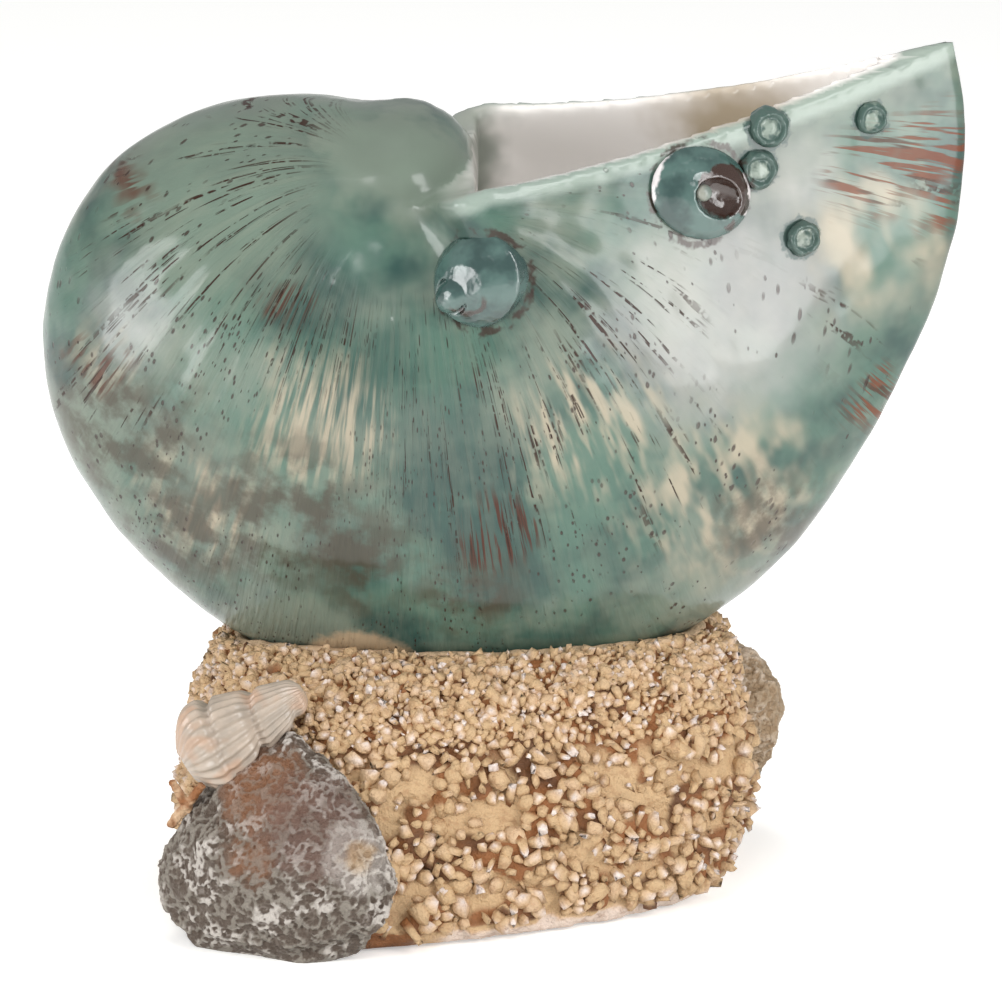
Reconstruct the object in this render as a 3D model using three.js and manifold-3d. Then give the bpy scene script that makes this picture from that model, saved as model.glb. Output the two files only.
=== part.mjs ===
// Nautilus-shaped bowl that lies mouth up on a coral rock stand, with small sea shells set on it.
// Millimetres and degrees. X runs along the coil towards the tip of the mouth, Y across it, Z up.
// The near side, which carries the limpets and barnacles, faces -Y. The stand rests on Z = 0.
import * as THREE from 'three';
import { LoftGeometry } from 'three/addons/geometries/LoftGeometry.js';
import { mergeVertices } from 'three/addons/utils/BufferGeometryUtils.js';
import Module from 'manifold-3d';

const wasm = await Module();
wasm.setup();

const { degToRad, lerp, smoothstep } = THREE.MathUtils;

// Coil: its radius from the axis, followed backwards from the lip in degrees
const WHORL_RADIUS = 123;
const ROLL_RADIUS = 16.5;
const WHORL_HALF = 191;
const WHORL_FALL = 31;
const ROLL_FROM = 190;
const ROLL_FULL = 280;
const KEEL_HOLLOW = 5;
const KEEL_HOLLOW_AT = 40;
const BELLY_FLAT = 3;
const BELLY_FLAT_AT = 138;
const FLAT_RUN = 22;
const COIL_X = -18;

// Cross-section: a pointed V at the lip that swells to an oval along the belly
const LIP_BREADTH = 85;
const COIL_BREADTH = 58;
const UMBILICUS_BREADTH = 48;
const UMBILICUS_LIP_RADIUS = 9;
const UMBILICUS_RADIUS = 24;
const KEEL_RUN = 75;
const BREADTH_FROM = 110;
const BREADTH_TO = 250;

// Mouth: the lip line, its sag in the middle and its rise where it meets the roll
const LIP_TILT = 14.7;
const LIP_SAG = 9.8;
const LIP_LEVEL_SHARE = 0.33;
const LIP_RISE = 9;
const LIP_SETTLE = 40;
const LIP_EDGE = 1.2;
const LIP_EDGE_RUN = 0.8;

// Hollow of the bowl
const WALL = 4;
const KEEL_WALL = 5;
const TIP_WALL = 13;
const TIP_WALL_RUN = 40;
const HOLLOW_BACK = 205;
const HOLLOW_END_RUN = 45;
const HOLLOW_CLEAR = 20;

// Stand of coral rock
const STAND_HEIGHT = 57;
const STAND_FOOT_LENGTH = 115;
const STAND_TOP_LENGTH = 106;
const STAND_LENGTH_BULGE = 5;
const STAND_FOOT_DEPTH = 104;
const STAND_TOP_DEPTH = 60;
const STAND_DEPTH_BULGE = 5.5;
const STAND_FOOT_X = -6.5;
const STAND_TOP_X = -2;
const STAND_FOOT_TURN = 20;
const STAND_TOP_TURN = 5;
const STAND_TOE = 10;
const STAND_TOE_AT = 215;
const STAND_TOE_SHARPNESS = 6;
const STAND_EDGE = 8;
const STAND_LUMP = 0.9;
const STAND_LUMP_WAVES = [{ around: 5, drift: 7 }, { around: 9, drift: -11 }];
const STAND_SQUARENESS = 2.8;
const STAND_KNOB = 1.8;
const STAND_KNOBS_AROUND = 25;
const STAND_KNOB_ROW = 15;
const STAND_KNOB_DRIFT = { count: 4, along: 1.5, up: 1.6 };

// Seating: how deep the shell sinks into the stand, the putty round it and the gap between pieces
const SEAT_DEPTH = 22;
const PUTTY = 2.2;
const SEAT_GAP = 0.3;

// Slipper limpets on the near flank, one seated from the axis and one from the keel
const LIMPET_LENGTH = 23;
const LIMPET_WIDTH = 20;
const LIMPET_HEIGHT = 5.5;
const LIMPET_SINK = 4;
const WHOLE_LEAN = -0.3;
const TORN_LEAN = 0.1;
const LIMPET_STEPS = [[1, 0.16], [0.94, 0.3], [0.8, 0.56], [0.75, 0.6], [0.5, 0.86], [0.24, 0.98], [0.06, 1]];
const LEFT_LIMPET_SEAT = { radius: 20.6, back: 53, turn: 40 };
const RIGHT_LIMPET_SEAT = { inset: 57.8, back: 12, turn: -20 };
const NUB_LENGTH = 9;
const NUB_WIDTH = 7.2;
const NUB_HEIGHT = 5;
const NUB_GROOVE = 0.7;
const NUB_AT = { along: -0.22, rise: 0.78 };
const TORN_HOLE_LENGTH = 12;
const TORN_HOLE_WIDTH = 9;
const TORN_HOLE_DEPTH = 4;
const TORN_HOLE_AT = { along: 0.14, rise: 0.95 };
const BEAD_RADIUS = 1.9;
const BEAD_AT = { along: -0.03, rise: 0.72 };

// Acorn barnacles near the tip of the mouth, each seated by its step from the torn limpet towards the keel
const BARNACLE_HEIGHT = 2.4;
const BARNACLE_SINK = 2.5;
const BARNACLE_CRATER = 1.3;
const BARNACLE_WALL = [[1, 0.2], [0.84, 0.85], [0.74, 1], [0.64, 0.9]];
const BARNACLE_CRATER_SHARE = 0.55;
const BARNACLE_PLUG = [[0.38, 0.85], [0, 1]];
const BARNACLES = [
  { out: 16.2, back: 3.5, diameter: 9 },
  { out: 12.7, back: 9.7, diameter: 9 },
  { out: 38.2, back: 5.9, diameter: 7.5 },
  { out: 22.7, back: 20.7, diameter: 8 },
];

// Oyster valves, whelk and coral twig: seats are degrees round the stand, a height and a step out of its wall
const OYSTER_LENGTH = 50;
const OYSTER_WIDTH = 50;
const OYSTER_DEPTH = 15;
const REAR_OYSTER_LENGTH = 34;
const REAR_OYSTER_WIDTH = 31;
const REAR_OYSTER_DEPTH = 9;
const OYSTER_ROOT = 12;
const OYSTER_ROOT_SHARE = 0.8;
const OYSTER_TAPER = 0.5;
const OYSTER_STEPS = [[1, 0.12], [0.95, 0.3], [0.9, 0.34], [0.8, 0.6], [0.74, 0.64], [0.55, 0.86], [0.25, 1]];
const OYSTER_LOBES = { depth: 0.05, count: 3, from: 0.8 };
const OYSTER_FRILLS = { depth: 0.035, count: 7 };
const OYSTER_RIDGES = { height: 0.06, count: 9, drift: 7 };
const OYSTER_SEAT = { around: 223.5, height: 22, proud: -2 };
const OYSTER_FACE = { heading: 252, rise: 14.5, turn: -5 };
const REAR_OYSTER_SEAT = { around: 3.5, height: 31.5, proud: 1.5 };
const REAR_OYSTER_FACE = { heading: 38.7, rise: 6, turn: 60 };
const WHELK_LENGTH = 30;
const WHELK_RADIUS = 10.5;
const WHELK_APEX = 3.2;
const WHELK_WHORLS = 3.5;
const WHELK_RIBS = 13;
const WHELK_RIB = 0.3;
const WHELK_SUTURE = 0.15;
const WHELK_SHOULDER = 0.3;
const WHELK_GROWTH = 0.8;
const WHELK_MOUTH_SHARE = 0.2;
const WHELK_SPIRE_SHARE = 0.4;
const WHELK_TIP_SHARE = 0.93;
const WHELK_TIP_RUN = 0.08;
const WHELK_SEAT = { around: 208.5, height: 39, proud: 13.5 };
const WHELK_FACE = { heading: 7, rise: 31.8, turn: 0 };
const TWIG_LENGTH = 14;
const TWIG_RADIUS = 1.3;
const TWIG_TIP_RADIUS = 0.9;
const TWIG_SEAT = { around: 207.5, height: 31, proud: 10.5 };
const TWIG_BRANCHES = [{ heading: 204, rise: 60.5 }, { heading: -35, rise: 52.3 }];

// Facets
const SHELL_COLUMNS = 60;
const SHELL_RINGS = 16;
const SHELL_BUNCHING = 1.3;
const HOLLOW_STEP = 9;
const HOLLOW_RINGS = 10;
const STAND_COLUMNS = 150;
const STAND_RINGS = 17;
const STAND_EDGE_RINGS = 3;
const ROUND_SEGMENTS = 28;
const FINE_SEGMENTS = 16;
const OYSTER_SEGMENTS = 48;
const WHELK_RINGS = 22;
const THIN_SEGMENTS = 8;
const WELD = 1e-4;
const SLOPE_STEP = 0.5;

const COIL_HEIGHT = STAND_HEIGHT - SEAT_DEPTH + WHORL_RADIUS;
const FULL_TURN = 360;
const ROLL_END = FULL_TURN - LIP_RISE;

const GROUND_REACH = 400;

const PAINT_TEAL = 0x5f8a80;
const PAINT_DEEP_TEAL = 0x3f6b66;
const PAINT_PUTTY = 0xcdb597;
const PAINT_SAND = 0xd2b282;
const PAINT_GREY = 0x8d8378;
const PAINT_PEARL = 0xd9d2cb;
const PAINT_OCHRE = 0xb97f3f;
const LACQUERED = 0.2;
const CHALKY = 0.8;

function paint(color, roughness) {
  return new THREE.MeshStandardMaterial({ color, roughness, metalness: 0 });
}

// Joins and cuts

function merged(geometry) {
  const bare = new THREE.BufferGeometry();
  bare.setAttribute('position', geometry.getAttribute('position').clone());
  bare.setIndex(geometry.getIndex() ? geometry.getIndex().clone() : null);
  const welded = mergeVertices(bare, WELD);
  const corners = Array.from(welded.getIndex().array);
  const kept = [];
  for (let i = 0; i < corners.length; i += 3) {
    const [a, b, c] = corners.slice(i, i + 3);
    if (a !== b && b !== c && c !== a) kept.push(a, b, c);
  }
  welded.setIndex(kept);
  return welded;
}

function solid(geometry) {
  const body = merged(geometry);
  const vertProperties = new Float32Array(body.getAttribute('position').array);
  const triVerts = new Uint32Array(body.getIndex().array);
  return new wasm.Manifold(new wasm.Mesh({ numProp: 3, vertProperties, triVerts }));
}

function geometryOf(manifold) {
  const mesh = manifold.getMesh();
  const geometry = new THREE.BufferGeometry();
  geometry.setAttribute('position', new THREE.BufferAttribute(mesh.vertProperties, 3));
  geometry.setIndex(new THREE.BufferAttribute(mesh.triVerts, 1));
  return geometry;
}

// The same surface moved outwards by a gap, as the cutter that leaves that gap
function swollen(geometry, gap) {
  const grown = merged(geometry);
  grown.computeVertexNormals();
  const places = grown.getAttribute('position');
  const normals = grown.getAttribute('normal');
  const place = new THREE.Vector3();
  const normal = new THREE.Vector3();
  for (let i = 0; i < places.count; i += 1) {
    normal.fromBufferAttribute(normals, i);
    place.fromBufferAttribute(places, i).addScaledVector(normal, gap);
    places.setXYZ(i, place.x, place.y, place.z);
  }
  return solid(grown);
}

function loft(sections) {
  return new LoftGeometry(sections, { capStart: true, capEnd: true });
}

// Nautilus shell

function whorlRadius(back) {
  const grown = 1 / (1 + Math.exp((back - WHORL_HALF) / WHORL_FALL));
  const coil = lerp(ROLL_RADIUS, WHORL_RADIUS, grown * (1 - smoothstep(back, ROLL_FROM, ROLL_FULL)));
  const flat = (at) => Math.exp(-(((back - at) / FLAT_RUN) ** 2));
  return coil - KEEL_HOLLOW * flat(KEEL_HOLLOW_AT) - BELLY_FLAT * flat(BELLY_FLAT_AT);
}

// Half the shell's breadth at a radius, where share is that radius as a share of the keel's
function halfBreadth(back, radius, share) {
  const roundness = smoothstep(back, 0, KEEL_RUN);
  const power = lerp(1, 2, roundness);
  const root = lerp(1, 0.5, roundness);
  const full = lerp(LIP_BREADTH, COIL_BREADTH, smoothstep(back, BREADTH_FROM, BREADTH_TO)) / 2;
  const dent = Math.exp(-((radius / lerp(UMBILICUS_LIP_RADIUS, UMBILICUS_RADIUS, roundness)) ** 2));
  return lerp(full, UMBILICUS_BREADTH / 2, dent) * Math.max(0, 1 - share ** power) ** root;
}

function coilPoint(back, radius, across) {
  const angle = degToRad(LIP_TILT - back);
  const x = COIL_X + radius * Math.cos(angle);
  const z = COIL_HEIGHT + radius * Math.sin(angle);
  return new THREE.Vector3(x, across, z);
}

// Degrees that the lip lies behind its straight line
function lipBack(share) {
  const sag = (LIP_SAG * (1 - share) * (share - LIP_LEVEL_SHARE)) / share;
  return Math.max(sag, -LIP_RISE);
}

function shellColumns() {
  const columns = [0, LIP_EDGE_RUN];
  for (let i = 1; i <= SHELL_COLUMNS; i += 1) columns.push((ROLL_END * i) / SHELL_COLUMNS);
  return columns;
}

// Shares of the keel radius, closer together near the umbilicus, where they start from a point, and the keel
function shellShares() {
  return Array.from({ length: SHELL_RINGS }, (unused, ring) => {
    return Math.sin((Math.PI / 2) * (ring / SHELL_RINGS)) ** SHELL_BUNCHING;
  });
}

function shellRing(share, side) {
  return shellColumns().map((column) => {
    const radius = share * whorlRadius(column);
    const edge = column === 0 && share > 0 ? 1 - (2 * LIP_EDGE) / LIP_BREADTH : 1;
    const across = side * edge * halfBreadth(column, radius, share);
    const settled = smoothstep(column, 0, LIP_SETTLE);
    return coilPoint(column + lipBack(share) * (1 - settled), radius, across);
  });
}

function shellOutside() {
  const shares = shellShares();
  const near = shares.map((share) => shellRing(share, -1));
  const far = shares.map((share) => shellRing(share, 1)).reverse();
  return new LoftGeometry([...near, shellRing(1, 0), ...far]);
}

// One section of the hollow, a loop from the roll out to the keel and back
function hollowRing(back) {
  const inside = Math.max(back, 0);
  const keel = whorlRadius(inside);
  const keelWall = lerp(TIP_WALL, KEEL_WALL, smoothstep(inside, 0, TIP_WALL_RUN));
  const above = Math.max(0, -LIP_RISE - back) / (HOLLOW_CLEAR - LIP_RISE);
  const inner = ROLL_RADIUS + lerp(-SEAT_GAP, WALL, above);
  const outer = keel - keelWall;
  const ending = Math.max(0, back - HOLLOW_BACK + HOLLOW_END_RUN) / HOLLOW_END_RUN;
  const shrink = Math.sqrt(1 - ending ** 2);
  const middle = (inner + outer) / 2;
  const sideShare = 1 - (2 * WALL) / LIP_BREADTH;
  const side = (sign) => (step) => {
    const reach = lerp(inner, outer, Math.sin((Math.PI / 2) * (step / HOLLOW_RINGS)));
    const across = sign * shrink * sideShare * halfBreadth(inside, reach, reach / outer);
    return coilPoint(back, lerp(middle, reach, shrink), across);
  };
  const steps = Array.from({ length: HOLLOW_RINGS }, (unused, step) => step);
  const keelPoint = coilPoint(back, lerp(middle, outer, shrink), 0);
  return [...steps.map(side(1)), keelPoint, ...steps.map(side(-1)).reverse()];
}

function hollow() {
  const sections = [hollowRing(-HOLLOW_CLEAR)];
  for (let back = -LIP_RISE; back < HOLLOW_BACK; back += HOLLOW_STEP) sections.push(hollowRing(back));
  return loft(sections);
}

// Frame on the near flank, with Z out of the shell and X turned from the horizontal
function onFlank(radius, back, turn) {
  const point = (r, b) => coilPoint(b, r, -halfBreadth(b, r, r / whorlRadius(b)));
  const seat = point(radius, back);
  const outward = point(radius + SLOPE_STEP, back).sub(seat);
  const backward = point(radius, back + SLOPE_STEP).sub(seat);
  const normal = outward.cross(backward).normalize();
  if (normal.y > 0) normal.negate();
  const level = new THREE.Vector3(1, 0, 0).projectOnPlane(normal).normalize();
  level.applyAxisAngle(normal, degToRad(turn));
  const upward = normal.clone().cross(level);
  return new THREE.Matrix4().makeBasis(level, upward, normal).setPosition(seat);
}

// Coral rock stand

function standEdge(height) {
  const depth = STAND_EDGE - Math.min(height, STAND_HEIGHT - height, STAND_EDGE);
  return STAND_EDGE - Math.sqrt(STAND_EDGE ** 2 - depth ** 2);
}

function standPoint(height, angle, proud) {
  const share = height / STAND_HEIGHT;
  const bulge = 4 * share * (1 - share);
  const towardsToe = Math.max(0, Math.cos(angle - degToRad(STAND_TOE_AT)));
  const toe = STAND_TOE * (1 - share) * towardsToe ** STAND_TOE_SHARPNESS;
  const waves = STAND_LUMP_WAVES.map(({ around, drift }) => Math.sin(around * angle + drift * share));
  const lump = STAND_LUMP * bulge * waves.reduce((sum, wave) => sum + wave);
  const out = proud + lump + toe - standEdge(height);
  const halfLength = lerp(STAND_FOOT_LENGTH, STAND_TOP_LENGTH, share) / 2 + STAND_LENGTH_BULGE * bulge + out;
  const halfDepth = lerp(STAND_FOOT_DEPTH, STAND_TOP_DEPTH, share) / 2 + STAND_DEPTH_BULGE * bulge + out;
  const square = (value) => Math.sign(value) * Math.abs(value) ** (2 / STAND_SQUARENESS);
  const x = halfLength * square(Math.cos(angle));
  const place = new THREE.Vector3(x, halfDepth * square(Math.sin(angle)), height);
  place.applyAxisAngle(THREE.Object3D.DEFAULT_UP, degToRad(lerp(STAND_FOOT_TURN, STAND_TOP_TURN, share)));
  place.x += lerp(STAND_FOOT_X, STAND_TOP_X, share);
  return place;
}

// Coral knobs of the wall, in uneven rows, each over the gaps of the row below
function standKnob(height, angle) {
  const drift = Math.sin(STAND_KNOB_DRIFT.count * angle);
  const along = Math.cos(STAND_KNOBS_AROUND * angle + STAND_KNOB_DRIFT.along * drift);
  const up = Math.cos((2 * Math.PI * height) / STAND_KNOB_ROW + STAND_KNOB_DRIFT.up * drift);
  return STAND_KNOB * Math.max(0, along * up) * (1 - standEdge(height) / STAND_EDGE);
}

function standRing(height) {
  return Array.from({ length: STAND_COLUMNS }, (unused, column) => {
    const angle = (2 * Math.PI * column) / STAND_COLUMNS;
    return standPoint(height, angle, standKnob(height, angle));
  });
}

function standHeights() {
  const edge = Array.from({ length: STAND_EDGE_RINGS }, (unused, ring) => {
    return STAND_EDGE * (1 - Math.cos((Math.PI / 2) * (ring / STAND_EDGE_RINGS)));
  });
  const wall = Array.from({ length: STAND_RINGS + 1 }, (unused, ring) => {
    return lerp(STAND_EDGE, STAND_HEIGHT - STAND_EDGE, ring / STAND_RINGS);
  });
  return [...edge, ...wall, ...edge.map((height) => STAND_HEIGHT - height).reverse()];
}

// Shells set on the flank

function oval(length, width, height, x, y) {
  return Array.from({ length: ROUND_SEGMENTS }, (unused, segment) => {
    const angle = (2 * Math.PI * segment) / ROUND_SEGMENTS;
    return new THREE.Vector3(x + (length / 2) * Math.cos(angle), y + (width / 2) * Math.sin(angle), height);
  });
}

// Stepped dome whose apex leans towards one end
function limpetDome(lean) {
  const ring = ([share, rise]) => {
    const shift = (lean * (1 - share) * LIMPET_LENGTH) / 2;
    return oval(LIMPET_LENGTH * share, LIMPET_WIDTH * share, LIMPET_HEIGHT * rise, shift, 0);
  };
  return loft([oval(LIMPET_LENGTH, LIMPET_WIDTH, -LIMPET_SINK, 0, 0), ...LIMPET_STEPS.map(ring)]);
}

function onDome({ along, rise }) {
  return new THREE.Vector3(LIMPET_LENGTH * along, 0, LIMPET_HEIGHT * rise);
}

function ellipsoid(length, width, depth, place) {
  const ball = new THREE.SphereGeometry(0.5, FINE_SEGMENTS, FINE_SEGMENTS / 2);
  ball.scale(length, width, depth);
  return ball.translate(place.x, place.y, place.z);
}

// Whole limpet with its beak: a round nub at the low end, ringed by a groove
function wholeLimpet() {
  const place = onDome(NUB_AT);
  const nub = ellipsoid(NUB_LENGTH, NUB_WIDTH, NUB_HEIGHT, place);
  const groove = new THREE.TorusGeometry(NUB_WIDTH / 2, NUB_GROOVE, THIN_SEGMENTS, FINE_SEGMENTS);
  groove.scale(NUB_LENGTH / NUB_WIDTH, 1, 1).translate(place.x, place.y, place.z);
  return solid(limpetDome(WHOLE_LEAN)).add(solid(nub)).subtract(solid(groove));
}

function bead(gap) {
  const width = 2 * (BEAD_RADIUS + gap);
  return ellipsoid(width, width, width, onDome(BEAD_AT));
}

// Torn limpet: its dome is open on one side, and a bead sits at the edge of the hole
function tornLimpet() {
  const hole = ellipsoid(TORN_HOLE_LENGTH, TORN_HOLE_WIDTH, 2 * TORN_HOLE_DEPTH, onDome(TORN_HOLE_AT));
  return solid(limpetDome(TORN_LEAN)).subtract(solid(hole)).subtract(solid(bead(SEAT_GAP)));
}

// Cone with a round crater and a plug in it, turned about the normal
function barnacle(diameter) {
  const outer = diameter / 2;
  const step = ([share, rise]) => new THREE.Vector2(outer * share, BARNACLE_HEIGHT * rise);
  const profile = [
    new THREE.Vector2(0, -BARNACLE_SINK),
    new THREE.Vector2(outer, -BARNACLE_SINK),
    ...BARNACLE_WALL.map(step),
    new THREE.Vector2(outer * BARNACLE_CRATER_SHARE, BARNACLE_HEIGHT - BARNACLE_CRATER),
    ...BARNACLE_PLUG.map(step),
  ];
  return new THREE.LatheGeometry(profile, FINE_SEGMENTS).rotateX(Math.PI / 2);
}

// Pieces on the stand

// Pear-shaped valve with frilled growth steps, lying in XY with its rough face towards +Z
function oysterValve(length, width, depth) {
  const outline = (share, rise) => Array.from({ length: OYSTER_SEGMENTS }, (unused, segment) => {
    const angle = (2 * Math.PI * segment) / OYSTER_SEGMENTS;
    const wave = Math.sin(OYSTER_RIDGES.count * angle + OYSTER_RIDGES.drift * share);
    const height = depth * (rise + OYSTER_RIDGES.height * share * wave);
    const lobe = OYSTER_LOBES.depth * Math.sin(OYSTER_LOBES.count * angle + OYSTER_LOBES.from);
    const frill = OYSTER_FRILLS.depth * Math.sin(OYSTER_FRILLS.count * angle + height);
    const reach = (share / 2) * (1 + share * (lobe + frill));
    const pear = 1 - OYSTER_TAPER * Math.sin(angle);
    const x = length * reach * pear * Math.cos(angle);
    return new THREE.Vector3(x, width * reach * Math.sin(angle), height);
  });
  const steps = OYSTER_STEPS.map(([share, rise]) => outline(share, rise));
  return loft([outline(OYSTER_ROOT_SHARE, -OYSTER_ROOT / depth), ...steps]);
}

function whelkGirth(share) {
  const mouth = Math.min(1, WHELK_MOUTH_SHARE + share / WHELK_SHOULDER);
  const siphon = Math.sin((Math.PI / 2) * mouth) ** WHELK_GROWTH;
  const climbed = Math.max(0, share - WHELK_SHOULDER) / (1 - WHELK_SHOULDER);
  const tip = Math.sqrt(1 - Math.max(0, (share - WHELK_TIP_SHARE) / WHELK_TIP_RUN) ** 2);
  return lerp(WHELK_RADIUS, WHELK_APEX, climbed) * siphon * tip;
}

// Whelk along +Z from the siphon to the apex, its whorls a helix and its ribs along the axis
function whelkShell() {
  const section = (unused, ring) => {
    const share = ring / WHELK_RINGS;
    const girth = whelkGirth(share);
    const spire = smoothstep(share, WHELK_MOUTH_SHARE, WHELK_SPIRE_SHARE);
    return Array.from({ length: ROUND_SEGMENTS }, (alsoUnused, segment) => {
      const turn = segment / ROUND_SEGMENTS;
      const angle = 2 * Math.PI * turn;
      const whorl = (WHELK_WHORLS * share ** WHELK_GROWTH + turn) % 1;
      const suture = 1 - WHELK_SUTURE * (1 - Math.sin(Math.PI * whorl)) * spire;
      const rib = (WHELK_RIB * girth * Math.cos(WHELK_RIBS * angle)) / WHELK_RADIUS;
      const radius = girth * suture + rib;
      return new THREE.Vector3(radius * Math.cos(angle), radius * Math.sin(angle), WHELK_LENGTH * share);
    });
  };
  return loft(Array.from({ length: WHELK_RINGS + 1 }, section));
}

function onStand({ around, height, proud }) {
  return standPoint(height, degToRad(around), proud);
}

function direction({ heading, rise }) {
  return new THREE.Vector3().setFromSphericalCoords(1, degToRad(90 - rise), degToRad(90 + heading))
    .applyAxisAngle(new THREE.Vector3(1, 0, 0), Math.PI / 2);
}

// Frame whose Z looks along a direction and whose X is turned from the level
function facing(place, face) {
  const normal = direction(face);
  const level = THREE.Object3D.DEFAULT_UP.clone().cross(normal).normalize();
  level.applyAxisAngle(normal, degToRad(face.turn));
  const upward = normal.clone().cross(level);
  return new THREE.Matrix4().makeBasis(level, upward, normal).setPosition(place);
}

// Tapered branch through a crossing, its thin end along a direction
function twigBranch(crossing, face) {
  const branch = new THREE.CylinderGeometry(TWIG_TIP_RADIUS, TWIG_RADIUS, TWIG_LENGTH, THIN_SEGMENTS);
  const turn = new THREE.Quaternion().setFromUnitVectors(new THREE.Vector3(0, 1, 0), direction(face));
  return solid(branch.applyQuaternion(turn).translate(crossing.x, crossing.y, crossing.z));
}

// Assembly

THREE.Object3D.DEFAULT_UP.set(0, 0, 1);
const figurine = new THREE.Group();

// Adds a piece cut in place to the group, kept in its own frame
function addPiece(name, body, material, frame = new THREE.Matrix4()) {
  const geometry = geometryOf(body).applyMatrix4(frame.clone().invert());
  const mesh = new THREE.Mesh(geometry, material);
  mesh.name = name;
  mesh.applyMatrix4(frame);
  figurine.add(mesh);
}

const outside = shellOutside();
const shellCutter = swollen(outside, SEAT_GAP);
addPiece('shell_bowl', solid(outside).subtract(solid(hollow())), paint(PAINT_TEAL, LACQUERED));

const stand = loft(standHeights().map(standRing));
const standCutter = swollen(stand, SEAT_GAP);
const puttyBody = swollen(outside, SEAT_GAP + PUTTY).intersect(solid(stand)).subtract(shellCutter);
addPiece('seat_putty', puttyBody, paint(PAINT_PUTTY, CHALKY));
const standBody = solid(stand).subtract(swollen(outside, PUTTY + 2 * SEAT_GAP));
addPiece('reef_stand', standBody, paint(PAINT_SAND, CHALKY));

const leftLimpetFrame = onFlank(LEFT_LIMPET_SEAT.radius, LEFT_LIMPET_SEAT.back, LEFT_LIMPET_SEAT.turn);
const leftLimpet = solid(geometryOf(wholeLimpet()).applyMatrix4(leftLimpetFrame)).subtract(shellCutter);
addPiece('limpet_left', leftLimpet, paint(PAINT_DEEP_TEAL, LACQUERED), leftLimpetFrame);

const rightLimpetRadius = whorlRadius(RIGHT_LIMPET_SEAT.back) - RIGHT_LIMPET_SEAT.inset;
const rightLimpetFrame = onFlank(rightLimpetRadius, RIGHT_LIMPET_SEAT.back, RIGHT_LIMPET_SEAT.turn);
const rightLimpet = solid(geometryOf(tornLimpet()).applyMatrix4(rightLimpetFrame)).subtract(shellCutter);
addPiece('limpet_right', rightLimpet, paint(PAINT_DEEP_TEAL, LACQUERED), rightLimpetFrame);
const beadBody = solid(bead(0).applyMatrix4(rightLimpetFrame));
addPiece('limpet_right_bead', beadBody, paint(PAINT_PEARL, LACQUERED), rightLimpetFrame);

const rightLimpetCutter = swollen(limpetDome(TORN_LEAN).applyMatrix4(rightLimpetFrame), SEAT_GAP);
BARNACLES.forEach(({ out, back, diameter }, index) => {
  const frame = onFlank(rightLimpetRadius + out, back, 0);
  const cone = solid(barnacle(diameter).applyMatrix4(frame));
  const body = cone.subtract(shellCutter).subtract(rightLimpetCutter);
  addPiece(`barnacle_${index + 1}`, body, paint(PAINT_TEAL, LACQUERED), frame);
});

const ground = new THREE.BoxGeometry(GROUND_REACH, GROUND_REACH, GROUND_REACH);
const rock = standCutter.add(solid(ground.translate(0, 0, -GROUND_REACH / 2)));
const frontFrame = facing(onStand(OYSTER_SEAT), OYSTER_FACE);
const frontShape = oysterValve(OYSTER_LENGTH, OYSTER_WIDTH, OYSTER_DEPTH).applyMatrix4(frontFrame);
addPiece('oyster_front', solid(frontShape).subtract(rock), paint(PAINT_GREY, CHALKY), frontFrame);

const rearFrame = facing(onStand(REAR_OYSTER_SEAT), REAR_OYSTER_FACE);
const rearShape = oysterValve(REAR_OYSTER_LENGTH, REAR_OYSTER_WIDTH, REAR_OYSTER_DEPTH);
const rearBody = solid(rearShape.applyMatrix4(rearFrame)).subtract(rock);
addPiece('oyster_rear', rearBody, paint(PAINT_GREY, CHALKY), rearFrame);

const frontCutter = swollen(frontShape, SEAT_GAP);
const whelkFrame = facing(onStand(WHELK_SEAT), WHELK_FACE);
const whelkShape = whelkShell().applyMatrix4(whelkFrame);
const whelkBody = solid(whelkShape).subtract(standCutter).subtract(frontCutter);
addPiece('whelk', whelkBody, paint(PAINT_PEARL, LACQUERED), whelkFrame);

const [firstBranch, secondBranch] = TWIG_BRANCHES.map((face) => twigBranch(onStand(TWIG_SEAT), face));
const twigNeighbours = standCutter.add(frontCutter).add(swollen(whelkShape, SEAT_GAP));
addPiece('coral_twig', firstBranch.add(secondBranch).subtract(twigNeighbours), paint(PAINT_OCHRE, CHALKY));

export default figurine;
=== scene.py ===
"""Nautilus bowl on a coral rock stand, with small sea shells, dressed over its solids.

Blender's unit is the metre, and +Z is up. X runs along the coil towards the tip of the mouth, and -Y is the
flank that carries the limpets and barnacles. Sizes in this file are millimetres unless a name says otherwise.
"""
import math
import random

import bmesh
import bpy
from bpy.props import FloatProperty, FloatVectorProperty, PointerProperty
from mathutils import Matrix, Vector, noise


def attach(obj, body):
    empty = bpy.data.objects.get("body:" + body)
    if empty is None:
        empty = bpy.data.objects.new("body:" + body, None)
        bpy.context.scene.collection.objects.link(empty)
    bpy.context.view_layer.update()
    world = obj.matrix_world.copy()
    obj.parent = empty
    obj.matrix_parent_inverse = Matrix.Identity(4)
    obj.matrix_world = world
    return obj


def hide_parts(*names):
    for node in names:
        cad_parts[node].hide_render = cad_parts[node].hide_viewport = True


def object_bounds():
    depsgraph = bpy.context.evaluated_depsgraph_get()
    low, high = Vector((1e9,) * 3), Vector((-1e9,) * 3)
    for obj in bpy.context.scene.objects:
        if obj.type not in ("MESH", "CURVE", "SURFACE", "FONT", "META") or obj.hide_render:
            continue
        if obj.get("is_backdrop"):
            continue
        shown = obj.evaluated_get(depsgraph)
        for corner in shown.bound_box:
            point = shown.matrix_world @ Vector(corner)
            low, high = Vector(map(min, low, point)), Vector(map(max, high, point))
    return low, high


bl_info = {
    "name": "Nautilus Bowl Figurine",
    "version": (1, 0, 0),
    "blender": (4, 5, 0),
    "location": "View3D > Sidebar > Figurine",
    "description": "Builds a lacquered nautilus bowl on a coral rock stand, with its small shells",
    "category": "Add Mesh",
}

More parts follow.
